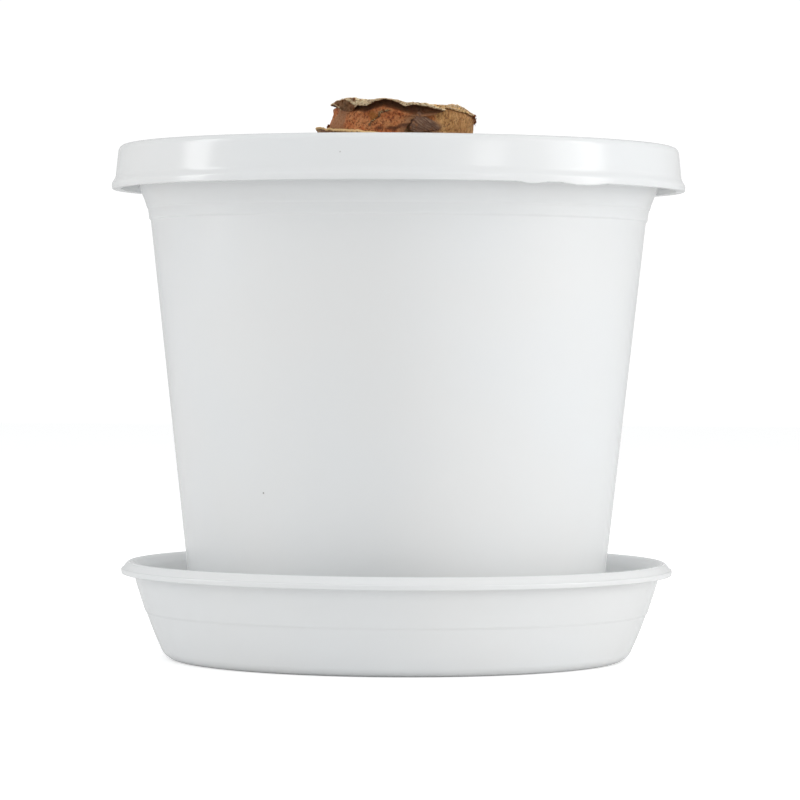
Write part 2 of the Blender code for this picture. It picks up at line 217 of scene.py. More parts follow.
def rounded(corners):
    """The profile through (radius, height, cut) corners, with a curve in place of each cut corner."""
    profile = []
    for i, (radius, height, cut) in enumerate(corners):
        corner = Vector((radius, height))
        if cut == 0 or i in (0, len(corners) - 1):
            profile.append(corner)
            continue
        before, after = Vector(corners[i - 1][:2]), Vector(corners[i + 1][:2])
        first = corner + (before - corner).normalized() * min(cut, (before - corner).length / 2)
        last = corner + (after - corner).normalized() * min(cut, (after - corner).length / 2)
        for step in range(CORNER_STEPS + 1):
            t = step / CORNER_STEPS
            profile.append(first * (1 - t) ** 2 + corner * (2 * t * (1 - t)) + last * t ** 2)
    return [(point.x, point.y) for point in profile]


def turned(name, corners, sides, shift=lambda angle, radius, height: (0.0, 0.0)):
    """Turn a profile about the upright axis; shift moves each point out and up, for moulding marks."""
    rings = []
    for radius, height in rounded(corners):
        if radius == 0:
            rings.append([(0.0, 0.0, height)])
            continue
        points = []
        for angle in turns(sides):
            out, up = shift(angle, radius, height)
            points.append(((radius + out) * cos(angle), (radius + out) * sin(angle), height + up))
        rings.append(points)
    return skin(name, rings)


print("a square corner becomes", len(rounded([(0, 0, 0), (1, 0, 0.2), (1, 1, 0)])), "points")

# %% [markdown]
# ## The saucer
#
# The real saucer is an injection-moulded dish: a foot ring that lets the middle stand clear of the table, a
# sloping wall that starts with a rounded belly, one thin line round it where two parts of the mould met,
# and a lip that turns over so that the edge feels thick. It could be modelled with a Screw modifier on an
# edge profile. Turning it in code does the same and lets the lip wander by a few hundredths of a
# millimetre, as thin plastic does when it cools.

# %% Saucer sizes and profile
SAUCER_SIDES = 320
PLASTIC_WALL = 1.4
saucer_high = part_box("saucer")[1]
SAUCER_LIP = saucer_high.x / MM
SAUCER_TOP = saucer_high.z / MM
FOOT_RECESS = 0.8


def saucer_corners():
    """From the middle of the underside, out and up the outside, over the lip and down the inside."""
    lip, top, wall = SAUCER_LIP, SAUCER_TOP, PLASTIC_WALL
    outside = [
        (0.0, FOOT_RECESS - 0.5, 0), (1.6, FOOT_RECESS - 0.5, 0.2), (2.0, FOOT_RECESS, 0.2),
        (36.0, FOOT_RECESS, 0.2), (36.4, FOOT_RECESS - 0.25, 0.1), (37.4, FOOT_RECESS - 0.25, 0.1),
        (37.8, FOOT_RECESS, 0.2), (56.2, FOOT_RECESS, 0.3), (57.0, 0.0, 0.3), (63.0, 0.0, 1.0),
        (65.2, 1.5, 1.2), (68.1, 8.1, 2.0), (69.9, 13.0, 0.25), (70.25, 13.35, 0.25), (72.9, 21.6, 1.0),
        (73.3, lip_under(), 0.5), (lip - 1.6, lip_under(), 0.5), (lip - 1.3, lip_under() - 1.0, 0.3),
        (lip - 0.15, lip_under() - 1.05, 0.25), (lip, lip_under() + 0.3, 0.4),
        (lip - 0.5, top - 1.9, 0.5), (lip - 1.7, top - 0.35, 1.0), (lip - 2.5, top, 0.6),
    ]
    inside = [
        (lip - 3.6, top - 0.25, 0.8), (72.1, top - 2.2, 1.0), (71.5, 21.6, 1.5), (68.5, 13.0, 0.6),
        (66.7, 8.1, 2.0), (63.9, 3.3, 2.4), (60.0, FOOT_RECESS + wall, 1.5), (44.0, FOOT_RECESS + wall, 0.3),
        (43.6, FOOT_RECESS + wall - 0.2, 0.2), (42.4, FOOT_RECESS + wall - 0.2, 0.2),
        (42.0, FOOT_RECESS + wall, 0.3), (0.0, FOOT_RECESS + wall, 0),
    ]
    return outside + inside


def lip_under():
    """Height of the flat under the turned lip."""
    return SAUCER_TOP - 2.4


def saucer_shift(angle, radius, height):
    """Cooling leaves the lip a little out of round and level."""
    share = blend_step(5.0, 25.0, height)
    wander = noise.noise(Vector((1.4 * cos(angle), 1.4 * sin(angle), 0.7)))
    return 0.10 * share * wander, 0.06 * share * sin(3 * angle + 1.0)


print("saucer:", len(saucer_corners()), "corners, radius", round(SAUCER_LIP, 1), "height", round(SAUCER_TOP, 1))


# %% Build the saucer
saucer = turned("saucer_dish", saucer_corners(), SAUCER_SIDES, saucer_shift)
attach(saucer, "root")
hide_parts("saucer")
print("saucer:", len(saucer.data.polygons), "faces")

# %% [markdown]
# ## The pot
#
# The pot is one thin moulded shell. Its wall leans outwards so that it slides off the mould, two fine lines
# run round it under the collar, and the collar itself is hollow underneath: a flat rim, a band that hangs
# down outside the wall, and a lip at the band's lower edge. A little flash, the thin fin where plastic
# crept between two halves of the mould, hangs from the lip at the front right. The floor stands on a foot
# and has holes that let water out.

# %% Pot sizes
POT_SIDES = 320
pot_low, pot_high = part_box("pot")
POT_BASE = pot_low.z / MM
RIM = pot_high.z / MM
LIP = pot_high.x / MM
WALL_STEP = (69.1, 121.9)
WALL_LEAN = 0.1095
FOOT_HEIGHT = 3.0
FLOOR_THICKNESS = 1.6
FLASH = ((radians(296.0), radians(3.2), 0.60), (radians(308.0), radians(5.4), 0.75))
DRAIN_HOLES = 8
DRAIN_RADIUS = 2.4
DRAIN_RING = 40.0
DRAIN_PEG = 8.0


def pot_wall(height):
    """Outer radius of the leaning wall."""
    return WALL_STEP[0] - WALL_LEAN * (WALL_STEP[1] - height)


def pot_corners():
    """From the middle of the underside, up the outside, over the collar and down the inside."""
    base, wall = POT_BASE, PLASTIC_WALL
    floor = base + FOOT_HEIGHT + FLOOR_THICKNESS
    foot = pot_wall(base)
    outside = [
        (0.0, base + FOOT_HEIGHT - 0.5, 0), (1.8, base + FOOT_HEIGHT - 0.5, 0.2),
        (2.2, base + FOOT_HEIGHT, 0.2), (foot - 5.2, base + FOOT_HEIGHT, 0.5), (foot - 4.4, base, 0.4),
        (foot - 0.6, base, 0.6), (foot + 0.1, base + 1.1, 0.6), (*WALL_STEP, 0.2),
        (69.55, 122.35, 0.25), (69.9, 125.15, 0.25), (70.25, 125.6, 0.25), (70.75, 127.4, 1.0),
        (71.7, 129.6, 1.5), (72.6, 132.6, 2.0), (72.8, RIM - 1.9, 0.6),
    ]
    collar = [
        (76.4, RIM - 1.9, 0.6), (77.25, RIM - 9.8, 0.5), (77.5, RIM - 11.5, 0.3), (77.6, RIM - 12.3, 0.2),
        (LIP - 0.1, RIM - 12.35, 0.35), (LIP, RIM - 10.7, 0.45), (78.95, RIM - 9.1, 0.7),
        (78.15, RIM - 1.1, 1.0), (77.0, RIM, 1.2),
    ]
    inside = [
        (72.0, RIM, 0.9), (71.4, RIM - 1.3, 0.8), (71.2, 132.6, 2.0), (70.3, 129.6, 1.5),
        (69.35, 127.4, 1.0), (68.6, 125.4, 0.4), (WALL_STEP[0] - wall, WALL_STEP[1], 0.3),
        (pot_wall(floor) - wall, floor + 1.6, 1.4), (pot_wall(floor) - wall - 2.0, floor, 1.4),
        (0.0, floor, 0),
    ]
    return outside + collar + inside


def pot_shift(angle, radius, height):
    """A wall a little out of round, and flash hanging from the lip."""
    share = blend_step(20.0, 110.0, height)
    out = 0.07 * share * noise.noise(Vector((1.7 * cos(angle), 1.7 * sin(angle), height / 60.0)))
    on_lip = blend_step(LIP - 2.5, LIP - 1.5, radius) * (1 - blend_step(RIM - 12.2, RIM - 11.4, height))
    up = 0.03 * sin(2 * angle + 0.4) * share
    for middle, width, depth in FLASH:
        ragged = 0.8 + 0.4 * noise.noise(Vector((angle * 60.0, 0.0, 0.0)))
        up -= depth * on_lip * ragged * hump(middle, width, angle) ** 0.5
    return out, up


print("pot corners:", len(pot_corners()), "and a foot radius of", round(pot_wall(POT_BASE), 1))


# %% Build the pot
pot = turned("pot_shell", pot_corners(), POT_SIDES, pot_shift)
print("pot:", len(pot.data.polygons), "faces, lip radius", round(LIP, 1), "rim height", round(RIM, 1))

# %% [markdown]
# Round holes in a floor are what Boolean modifiers are for. One mesh holds all the pegs, and a single
# difference takes them out of the floor at once.

# %% Drill the drain holes
def drain_pegs():
    """Pegs for the ring of holes in the pot's floor."""
    shape = bmesh.new()
    for i in range(DRAIN_HOLES):
        angle = 2 * pi * (i + 0.5) / DRAIN_HOLES
        place = Vector((DRAIN_RING * cos(angle), DRAIN_RING * sin(angle), POT_BASE + FOOT_HEIGHT)) * MM
        bmesh.ops.create_cone(shape, cap_ends=True, segments=32, radius1=DRAIN_RADIUS * MM,
                              radius2=DRAIN_RADIUS * MM, depth=DRAIN_PEG * MM,
                              matrix=Matrix.Translation(place))
    mesh = bpy.data.meshes.new("drain_pegs")
    shape.to_mesh(mesh)
    shape.free()
    return bpy.data.objects.new("drain_pegs", mesh)


def cut_away(target, tool):
    """Cut the tool out of the target for good, and remove the tool."""
    bpy.context.scene.collection.objects.link(tool)
    cut = target.modifiers.new("cut", "BOOLEAN")
    cut.operation = "DIFFERENCE"
    cut.object = tool
    bpy.context.view_layer.update()
    finished = bpy.data.meshes.new_from_object(target.evaluated_get(bpy.context.evaluated_depsgraph_get()))
    target.modifiers.clear()
    target.data = finished
    bpy.data.objects.remove(tool)


cut_away(pot, drain_pegs())
pot.data.set_sharp_from_angle(angle=radians(50))
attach(pot, "root")
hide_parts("pot")
print("pot after drilling:", len(pot.data.polygons), "faces")

# %% [markdown]
# ## Finishes made of nodes
#
# Every finish here starts from the Principled BSDF and changes a few of its sockets over the surface.
# Adding and linking nodes by hand is wordy, so `Finish` wraps a material: `add` makes a node and fills its
# sockets, with a number, a colour or another node's output, and returns what the node gives.

# %% A short way to wire nodes
class Finish:
    """A material with one Principled shader, and short ways to add nodes in front of it."""

    def __init__(self, name, roughness):
        self.material = bpy.data.materials.new(name)
        self.material.use_nodes = True
        self.nodes = self.material.node_tree.nodes
        self.links = self.material.node_tree.links
        self.shader = self.nodes["Principled BSDF"]
        self.shader.inputs["Roughness"].default_value = roughness

    def feed(self, socket, value):
        if isinstance(value, bpy.types.NodeSocket):
            self.links.new(value, socket)
        elif isinstance(value, (tuple, list)) and len(value) == 3 and socket.type == "RGBA":
            socket.default_value = (*value, 1.0)
        else:
            socket.default_value = value

    def add(self, kind, output=0, settings=None, **inputs):
        node = self.nodes.new(kind)
        for key, value in (settings or {}).items():
            setattr(node, key, value)
        for key, value in inputs.items():
            self.feed(node.inputs[key.replace("_", " ")], value)
        return node.outputs[output]

    def place(self, x=1.0, y=1.0, z=1.0, shift=(0.0, 0.0, 0.0)):
        """Object coordinates in millimetres, squeezed by a factor along each axis."""
        where = self.add("ShaderNodeTexCoord", output=3)
        return self.add("ShaderNodeMapping", Vector=where, Location=shift, Scale=(x / MM, y / MM, z / MM))

    def noise(self, scale, vector=None, detail=3.0, roughness=0.5, distortion=0.0):
        vector = vector or self.place()
        return self.add("ShaderNodeTexNoise", Vector=vector, Scale=scale, Detail=detail,
                        Roughness=roughness, Distortion=distortion)

    def mark(self, name):
        return self.add("ShaderNodeAttribute", output=2, settings={"attribute_name": name})

    def reach(self, value, low, high, start=0.0, end=1.0):
        """Stretch the part of a value between low and high to run from start to end."""
        node = self.nodes.new("ShaderNodeMapRange")
        for index, number in enumerate((value, low, high, start, end)):
            self.feed(node.inputs[index], number)
        return node.outputs[0]

    def math(self, operation, first, second=0.0):
        node = self.nodes.new("ShaderNodeMath")
        node.operation = operation
        self.feed(node.inputs[0], first)
        self.feed(node.inputs[1], second)
        return node.outputs[0]

    def mix(self, share, first, second):
        node = self.nodes.new("ShaderNodeMix")
        node.data_type = "RGBA"
        self.feed(node.inputs[0], share)
        self.feed(node.inputs[6], first)
        self.feed(node.inputs[7], second)
        return node.outputs[2]

    def bump(self, height, depth, strength=1.0, normal=None):
        """depth is in millimetres."""
        node = self.nodes.new("ShaderNodeBump")
        node.inputs["Strength"].default_value = strength
        node.inputs["Distance"].default_value = depth * MM
        self.feed(node.inputs["Height"], height)
        if normal:
            self.feed(node.inputs["Normal"], normal)
        return node.outputs[0]

    def set(self, **inputs):
        for key, value in inputs.items():
            self.feed(self.shader.inputs[key.replace("_", " ")], value)

    def paint(self, *pieces):
        for piece in pieces:
            piece.data.materials.clear()
            piece.data.materials.append(self.material)


print("a finish needs a name and a roughness, and then colours")

# %% [markdown]
# ## White moulded plastic
#
# White polypropylene looks simple and isn't. Its base colour is a cool grey-white, never 1.0, or it would
# glow. Light goes a little way into it, which softens the shading, and its skin has a satin gloss that
# mirrors large bright things as soft-edged patches. Three small faults keep it from looking like a drawing:
# the gloss varies where the mould was worn, the wall ripples so slightly that only reflections show it, and
# a few dark specks are caught in the plastic.

# %% Mix the white plastic
PLASTIC_WHITE = (0.888, 0.902, 0.908)
PLASTIC_WARM = (0.896, 0.900, 0.896)
SPECK = (0.20, 0.18, 0.16)


def white_plastic(name):
    finish = Finish(name, 0.3)
    tint = finish.reach(finish.noise(0.02, detail=2.0), 0.35, 0.65)
    colour = finish.mix(tint, PLASTIC_WHITE, PLASTIC_WARM)
    cells = finish.add("ShaderNodeTexVoronoi", Vector=finish.place(), Scale=0.055, Randomness=1.0)
    rare = finish.reach(finish.noise(0.03, finish.place(shift=(37.0, 11.0, 5.0))), 0.50, 0.56)
    speck = finish.math("MULTIPLY", finish.reach(cells, 0.018, 0.009), rare)
    finish.set(Base_Color=finish.mix(speck, colour, SPECK))
    worn = finish.noise(0.11, finish.place(z=0.5), detail=4.0)
    finish.set(Roughness=finish.reach(worn, 0.3, 0.7, 0.14, 0.21), IOR=1.49)
    finish.set(Subsurface_Weight=0.12, Subsurface_Scale=1.5 * MM, Subsurface_Radius=(1.0, 1.0, 1.0))
    grain = finish.bump(finish.noise(3.2, detail=2.0), 0.004)
    finish.set(Normal=finish.bump(finish.noise(0.035, detail=1.0), 0.35, normal=grain))
    return finish


pot_finish = white_plastic("pot_white_plastic")
pot_finish.paint(pot)
saucer_finish = white_plastic("saucer_white_plastic")
saucer_finish.paint(saucer)
print("plastic nodes:", len(pot_finish.nodes))

# %% [markdown]
# ## The potting soil
#
# Potting soil is peat, bark and coir. From the front the rim hides it, but from above it fills the picture,
# so it is built as a plug with the pot's inner shape and a top that is lumpy at several sizes. A
# displacement modifier could do the lumps. A function does it too, and the same function can then tell the
# crumbs how high to lie.

# %% Soil sizes
BULB_X = 1.0
SOIL_SIDES = 300
SOIL_TOP_RINGS = 62
SOIL_LEVEL = 123.5
SOIL_LUMP = 2.4
SOIL_CRUMB = 1.5
SOIL_GRIT = 0.55
SOIL_GAP = 0.45
ROOT_POCKET = ((27.0, 66.2), (24.0, 47.0))
BURIED = (
    (10.0, 61.6), (17.0, 62.2), (19.4, 64.0), (20.6, 66.4), (27.0, 69.2), (33.6, 74.6), (38.6, 82.4),
    (41.2, 91.2), (42.0, 100.0), (41.2, 108.0), (39.0, 115.6), (35.8, 122.4), (33.4, 126.4),
)
SHOULDER = ((31.9, 128.6), (30.2, 131.0), (27.4, 135.0), (25.2, 138.2), (23.4, 141.2), (21.6, 144.6))
soil_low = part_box("soil")[0]


def body_radius(height):
    """Radius of the plain bulb at a height: a smooth curve through its profile."""
    rows = BURIED + SHOULDER
    height = min(max(height, rows[0][1]), rows[-1][1])
    for i, ((r0, z0), (r1, z1)) in enumerate(zip(rows, rows[1:])):
        if z0 <= height <= z1:
            before, after = rows[max(i - 1, 0)], rows[min(i + 2, len(rows) - 1)]
            tilt0 = (r1 - before[0]) / (z1 - before[1]) * (z1 - z0)
            tilt1 = (after[0] - r0) / (after[1] - z0) * (z1 - z0)
            t = (height - z0) / (z1 - z0)
            bend = (t ** 3 - 2 * t * t + t) * tilt0 + (t ** 3 - t * t) * tilt1
            return r0 * (2 * t ** 3 - 3 * t * t + 1) + r1 * (3 * t * t - 2 * t ** 3) + bend
    return rows[-1][0]


def soil_height(x, y, share):
    """share is 0 at the pot's wall and 1 at the bulb, against which the soil is banked."""
    lump = noise.noise(Vector((x / 13.0, y / 13.0, 0.0))) * SOIL_LUMP
    crumb = noise.noise(Vector((x / 5.1 + 40, y / 5.1 + 7, 3.0))) * SOIL_CRUMB
    bank = 1.2 * share * share - 0.8 * (1 - share) ** 4
    grit = rough(x / 1.9, y / 1.9, 5.0, 3) * SOIL_GRIT
    return SOIL_LEVEL + bank + (lump + crumb) * (1 - 0.6 * share ** 3) + grit


def soil_point(share, angle):
    """A point on the soil's surface, between the pot's wall and the bulb."""
    outer = pot_wall(SOIL_LEVEL - SOIL_LUMP) - PLASTIC_WALL - SOIL_GAP
    inner = body_radius(SOIL_LEVEL) + SOIL_GAP
    radius = outer + (inner - outer) * share
    x = BULB_X * share + radius * cos(angle)
    y = radius * sin(angle)
    return x, y, soil_height(x, y, share)


print("the bulb's radius where it leaves the soil is", round(body_radius(SOIL_LEVEL), 1), "mm")

# %% Build the soil bed
def soil_rings():
    """From the pot's floor up its wall, over the top to the bulb, and down the pocket under it."""
    floor = soil_low.z / MM
    wall = lambda z: pot_wall(z) - PLASTIC_WALL - SOIL_GAP
    rings = [[(0.0, 0.0, floor)]]
    for radius, height in ((wall(floor) - 2.0, floor), (wall(floor + 2.0), floor + 2.0), (wall(60.0), 60.0),
                           (wall(100.0), 100.0), (wall(118.0), 118.0)):
        rings.append(ring(radius, height, SOIL_SIDES))
    for k in range(SOIL_TOP_RINGS + 1):
        rings.append([soil_point(k / SOIL_TOP_RINGS, angle) for angle in turns(SOIL_SIDES)])
    hollow = [(r + SOIL_GAP, z) for r, z in reversed(BURIED[4:-2])] + list(ROOT_POCKET)
    for radius, height in hollow:
        rings.append([(x + BULB_X, y, z) for x, y, z in ring(radius, height, SOIL_SIDES)])
    rings.append([(BULB_X, 0.0, ROOT_POCKET[-1][1])])
    return rings


soil = skin("soil_bed", soil_rings())
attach(soil, "root")
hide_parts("soil")
print("soil bed:", len(soil.data.polygons), "faces")

# %% [markdown]
# ## Crumbs and fibres
#
# What makes soil read as soil is loose stuff lying on it: crumbs of peat, splinters of bark, coir fibres
# and a few grains of perlite. Particles could scatter them, but they would be lost when the model is
# exported. Here one small lump is copied many times into a single mesh. A seeded random generator gives the
# same scatter on every run.

# %% Scatter crumbs
CRUMBS = 1500
CRUMBS_BY_BULB = 320
CRUMB_SIZES = (0.35, 1.7)
BARK_CHIPS = 110
PERLITE_GRAINS = 26


def lump_shape(detail=1):
    """Points and faces of a rough ball of radius one."""
    shape = bmesh.new()
    bmesh.ops.create_icosphere(shape, subdivisions=detail, radius=1.0)
    points = [v.co * (1 + 0.45 * noise.noise(v.co * 1.7)) for v in shape.verts]
    faces = [[v.index for v in f.verts] for f in shape.faces]
    shape.free()
    return points, faces


def scatter(name, count, shape, size_of, sink, seed, low=0.02, high=0.985):
    """Copies of one shape, turned and sized by chance; low and high say how near the bulb they lie."""
    chance = random.Random(seed)
    base_points, base_faces = shape
    points, faces, tones = [], [], []
    for copy in range(count):
        share = low + (high - low) * (1 - sqrt(chance.random()))
        place = Vector(soil_point(share, chance.uniform(0, 2 * pi)))
        turn = Euler([chance.uniform(0, 2 * pi) for axis in range(3)]).to_matrix()
        size = size_of(chance)
        start = len(points)
        place.z += sink * min(size)
        scaled = Matrix.Diagonal(size)
        points += [place + turn @ (scaled @ p) for p in base_points]
        faces += [[start + i for i in face] for face in base_faces]
        tones += [chance.random()] * len(base_points)
    return finish_mesh(name, points, faces, {"tone": tones})


def crumb_size(chance):
    size = CRUMB_SIZES[0] + (CRUMB_SIZES[1] - CRUMB_SIZES[0]) * chance.random() ** 3
    return Vector((size, size * chance.uniform(0.7, 1.0), size * chance.uniform(0.6, 0.9)))


def chip_size(chance):
    return Vector((chance.uniform(1.4, 3.6), chance.uniform(0.5, 1.1), chance.uniform(0.25, 0.5)))


def grain_size(chance):
    size = chance.uniform(0.6, 1.25)
    return Vector((size, size * 0.9, size * 0.8))


crumbs = scatter("soil_crumbs", CRUMBS, lump_shape(), crumb_size, 0.35, seed=11)
near_crumbs = scatter("crumbs_by_bulb", CRUMBS_BY_BULB, lump_shape(), crumb_size, 0.3, seed=14,
                      low=0.995, high=0.91)
bark = scatter("bark_chips", BARK_CHIPS, lump_shape(), chip_size, 0.8, seed=12)
perlite = scatter("perlite_grains", PERLITE_GRAINS, lump_shape(2), grain_size, 0.4, seed=13)
for piece in (crumbs, near_crumbs, bark, perlite):
    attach(piece, "root")
    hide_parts("soil")
print("loose pieces on the soil:", CRUMBS + CRUMBS_BY_BULB + BARK_CHIPS + PERLITE_GRAINS)

# %% [markdown]
# ## Strands
#
# Coir in the soil, dry roots under the bulb and the threads of torn scales are all the same kind of thing:
# a thin tapering tube along a curved line. `strands` makes any number of them in one mesh from their lines,
# so that they can be exported as plain geometry, which hair curves can't.

# %% Tubes along lines
def strands(name, lines, sides=5):
    """lines is a list of (points, start radius, end radius, tone); each becomes a closed tapering tube."""
    points, faces, tones = [], [], []
    for line, thick, thin, tone in lines:
        start, last = len(points), len(line) - 1
        for k, here in enumerate(line):
            ahead = (line[min(k + 1, last)] - line[max(k - 1, 0)]).normalized()
            side = ahead.orthogonal().normalized()
            other = ahead.cross(side)
            radius = thick + (thin - thick) * k / last
            for i in range(sides):
                angle = 2 * pi * i / sides
                points.append(here + (side * cos(angle) + other * sin(angle)) * radius)
        for k in range(last):
            for i in range(sides):
                j, low, high = (i + 1) % sides, start + k * sides, start + (k + 1) * sides
                faces.append((low + i, low + j, high + j, high + i))
        faces.append([start + i for i in reversed(range(sides))])
        faces.append([start + last * sides + i for i in range(sides)])
        tones += [tone] * (sides * (last + 1))
    return finish_mesh(name, points, faces, {"tone": tones})


def curve_between(a, b, c, d, t):
    """The smooth curve from b, at t = 0, to c, at t = 1; it takes numbers as well as vectors."""
    return 0.5 * (2 * b + (c - a) * t + (2 * a - 5 * b + 4 * c - d) * t * t
                  + (3 * b - a - 3 * c + d) * t ** 3)


def smooth_line(corners, steps):
    """A curve through the corner points, eased from each to the next."""
    corners = [Vector(c) for c in corners]
    ends = [corners[0] * 2 - corners[1], *corners, corners[-1] * 2 - corners[-2]]
    line = []
    for a, b, c, d in zip(ends, ends[1:], ends[2:], ends[3:]):
        line += [curve_between(a, b, c, d, k / steps) for k in range(steps)]
    return line + [corners[-1]]


print("a curve eased through 3 corners in steps of 4 has", 2 * 4 + 1, "points")


# %% Coir fibres on the soil
COIR_FIBRES = 130
COIR_RADII = (0.16, 0.07)
COIR_STEP = 2.4


def coir_lines():
    """Each fibre creeps over the soil in a bend, and stops short of the pot's wall and the bulb."""
    chance = random.Random(21)
    lines = []
    for fibre in range(COIR_FIBRES):
        share, angle = 0.05 + 0.88 * (1 - sqrt(chance.random())), chance.uniform(0, 2 * pi)
        heading, bend = chance.uniform(0, 2 * pi), chance.uniform(-0.5, 0.5)
        x, y, z = soil_point(share, angle)
        corners = []
        for k in range(5):
            span = sqrt((x - BULB_X) ** 2 + y * y)
            inside = body_radius(SOIL_LEVEL) + 2.0 < span < pot_wall(SOIL_LEVEL) - 4.0
            if not inside:
                break
            corners.append((x, y, soil_height(x, y, 0.5) + 0.5 + chance.uniform(-0.1, 0.7)))
            x, y, heading = x + COIR_STEP * cos(heading), y + COIR_STEP * sin(heading), heading + bend
        if len(corners) > 2:
            lines.append((smooth_line(corners, 3), *COIR_RADII, chance.random()))
    return lines


coir = strands("coir_fibres", coir_lines())
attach(coir, "root")
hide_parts("soil")
print("coir:", len(coir.data.polygons), "faces")

# %% [markdown]
# Damp peat is nearly black, and its dry crumbs are brown. The crumbs, chips and fibres each carry a mark
# called tone, one number for each copy, so that neighbours differ in colour although they share a material.

# %% Finishes for the soil
PEAT_BLACK = (0.018, 0.011, 0.007)
PEAT_BROWN = (0.075, 0.043, 0.024)
PEAT_DAMP = (0.035, 0.021, 0.013)
PEAT_DRY = (0.13, 0.075, 0.038)


def soil_finish():
    finish = Finish("potting_soil", 0.95)
    grain = finish.reach(finish.noise(0.9, detail=5.0), 0.35, 0.7)
    peat = finish.mix(grain, PEAT_BLACK, PEAT_BROWN)
    moist = finish.mix(finish.reach(finish.noise(0.07), 0.4, 0.65), peat, PEAT_DAMP)
    tone = finish.math("MULTIPLY", finish.mark("tone"), 0.45)
    finish.set(Base_Color=finish.mix(tone, moist, PEAT_DRY))
    finish.set(Roughness=finish.reach(finish.noise(1.7), 0.3, 0.7, 0.8, 1.0))
    finish.set(Normal=finish.bump(finish.noise(2.6, detail=6.0, roughness=0.7), 0.35))
    return finish


def bark_finish():
    finish = Finish("bark", 0.85)
    streak = finish.noise(1.4, finish.place(x=0.35), detail=4.0)
    colour = finish.mix(finish.reach(streak, 0.35, 0.65), (0.10, 0.045, 0.022), (0.26, 0.15, 0.08))
    finish.set(Base_Color=finish.mix(finish.mark("tone"), colour, (0.05, 0.026, 0.015)))
    finish.set(Normal=finish.bump(streak, 0.25))
    return finish


def fibre_finish(name, dark, pale):
    finish = Finish(name, 0.75)
    finish.set(Specular_IOR_Level=0.25)
    wear = finish.noise(0.8, detail=2.0)
    colour = finish.mix(finish.mark("tone"), dark, pale)
    finish.set(Base_Color=finish.mix(finish.reach(wear, 0.45, 0.65, 0.0, 0.6), colour, dark))
    return finish


def perlite_finish():
    finish = Finish("perlite", 0.9)
    pits = finish.noise(2.4, detail=4.0, roughness=0.7)
    finish.set(Base_Color=finish.mix(finish.reach(pits, 0.4, 0.6), (0.45, 0.43, 0.39), (0.78, 0.77, 0.73)))
    finish.set(Normal=finish.bump(pits, 0.3))
    return finish


soil_finish().paint(soil, crumbs, near_crumbs)
bark_finish().paint(bark)
perlite_finish().paint(perlite)
fibre_finish("coir", (0.09, 0.045, 0.02), (0.36, 0.22, 0.11)).paint(coir)
print("soil finishes:", [piece.data.materials[0].name for piece in (soil, bark, perlite, coir)])

# %% [markdown]
# ## The bulb
#
# Most of an amaryllis bulb hides in the soil, with dead roots under a hard round plate. What stands out is
# the neck, cut off flat after last season's leaves died. Its outer skins are thin, brown and torn. Under
# them the scales have dried to leather, and each one curls outwards where it was cut. The body is one plain
# turned form, and the skins and scales are separate sheets laid over it, each with its own torn edge.

# %% Measures of the bulb
BULB_SIDES = 300
NECK_RADIUS = 19.8
RELIEF_START = 126.4
RELIEF_FULL = 131.0


def ribs(angle, height):
    """Long shallow folds that run down the dry skin, and fade out where the soil begins."""
    spot = Vector((3.1 * cos(angle), 3.1 * sin(angle), height / 24.0))
    folds = 1.4 * noise.noise(spot) + 0.6 * noise.noise(spot * 3.3) + 0.25 * noise.noise(spot * 8.0)
    crease = 1 - blend_step(0.0, 0.14, abs(noise.noise(spot * 2.6 + Vector((0.0, 0.0, 4.0)))))
    return blend_step(RELIEF_START, RELIEF_FULL, height) * (folds - 0.45 * crease)


def around(table, angle):
    """The value at an angle in radians, from rows of (degrees, value) that close on themselves."""
    turn = degrees(angle) % 360
    rows = [(table[-1][0] - 360, table[-1][1]), *table, (table[0][0] + 360, table[0][1])]
    for (start, low), (end, high) in zip(rows, rows[1:]):
        if start <= turn <= end:
            return low + (high - low) * blend_step(start, end, turn)
    return table[0][1]


def polar(radius, angle, height):
    """A point on the bulb, whose axis stands a little to the right of the pot's."""
    return BULB_X + radius * cos(angle), radius * sin(angle), height


def on_bulb(piece):
    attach(piece, "root")
    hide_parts("bulb")
    return piece


print("a fold at the front of the shoulder is", round(ribs(radians(270), 135.0), 2), "mm high")

# %% [markdown]
# The body follows the profile in rings set close together, because the folds need them. Above the soil it
# keeps a little inside the profile, which leaves room for the skins. At the top it turns in to a flat
# floor, on which the cut scales will stand.

# %% Turn the bulb's body
PLATE_MIDDLE = 62.0
BODY_START = 67.5
BODY_STEP = 1.5
BODY_RINGS = 52
SKIN_ROOM = 1.2
CUP_FLOOR = 147.6
CUP = ((18.2, 147.0), (17.6, CUP_FLOOR), (12.0, CUP_FLOOR), (6.0, CUP_FLOOR))


def body_rings():
    rings = [[(BULB_X, 0.0, PLATE_MIDDLE)]]
    for radius, height in BURIED[:4]:
        rings.append([polar(radius, angle, height) for angle in turns(BULB_SIDES)])
    for k in range(BODY_RINGS):
        height = BODY_START + BODY_STEP * k
        room = SKIN_ROOM * blend_step(124, 130, height)
        rings.append([polar(body_radius(height) + ribs(angle, height) - room, angle, height)
                      for angle in turns(BULB_SIDES)])
    for radius, height in CUP:
        rings.append([polar(radius, angle, height) for angle in turns(BULB_SIDES)])
    rings.append([(BULB_X, 0.0, CUP_FLOOR)])
    return rings


body = on_bulb(skin("bulb_body", body_rings()))
print("bulb body:", len(body.data.polygons), "faces")

# %% [markdown]
# A bulb is lifted from the field with its roots cut short, and what is left of them dries to stubs under
# the plate. They are the same tapering tubes as the coir, only thicker and with more sides.

# %% Dead roots under the plate
ROOTS = 14
ROOT_LENGTH = 12.0
ROOT_RING = 14.5
ROOT_TOP = 66.0
ROOT_RADII = (1.4, 0.7)


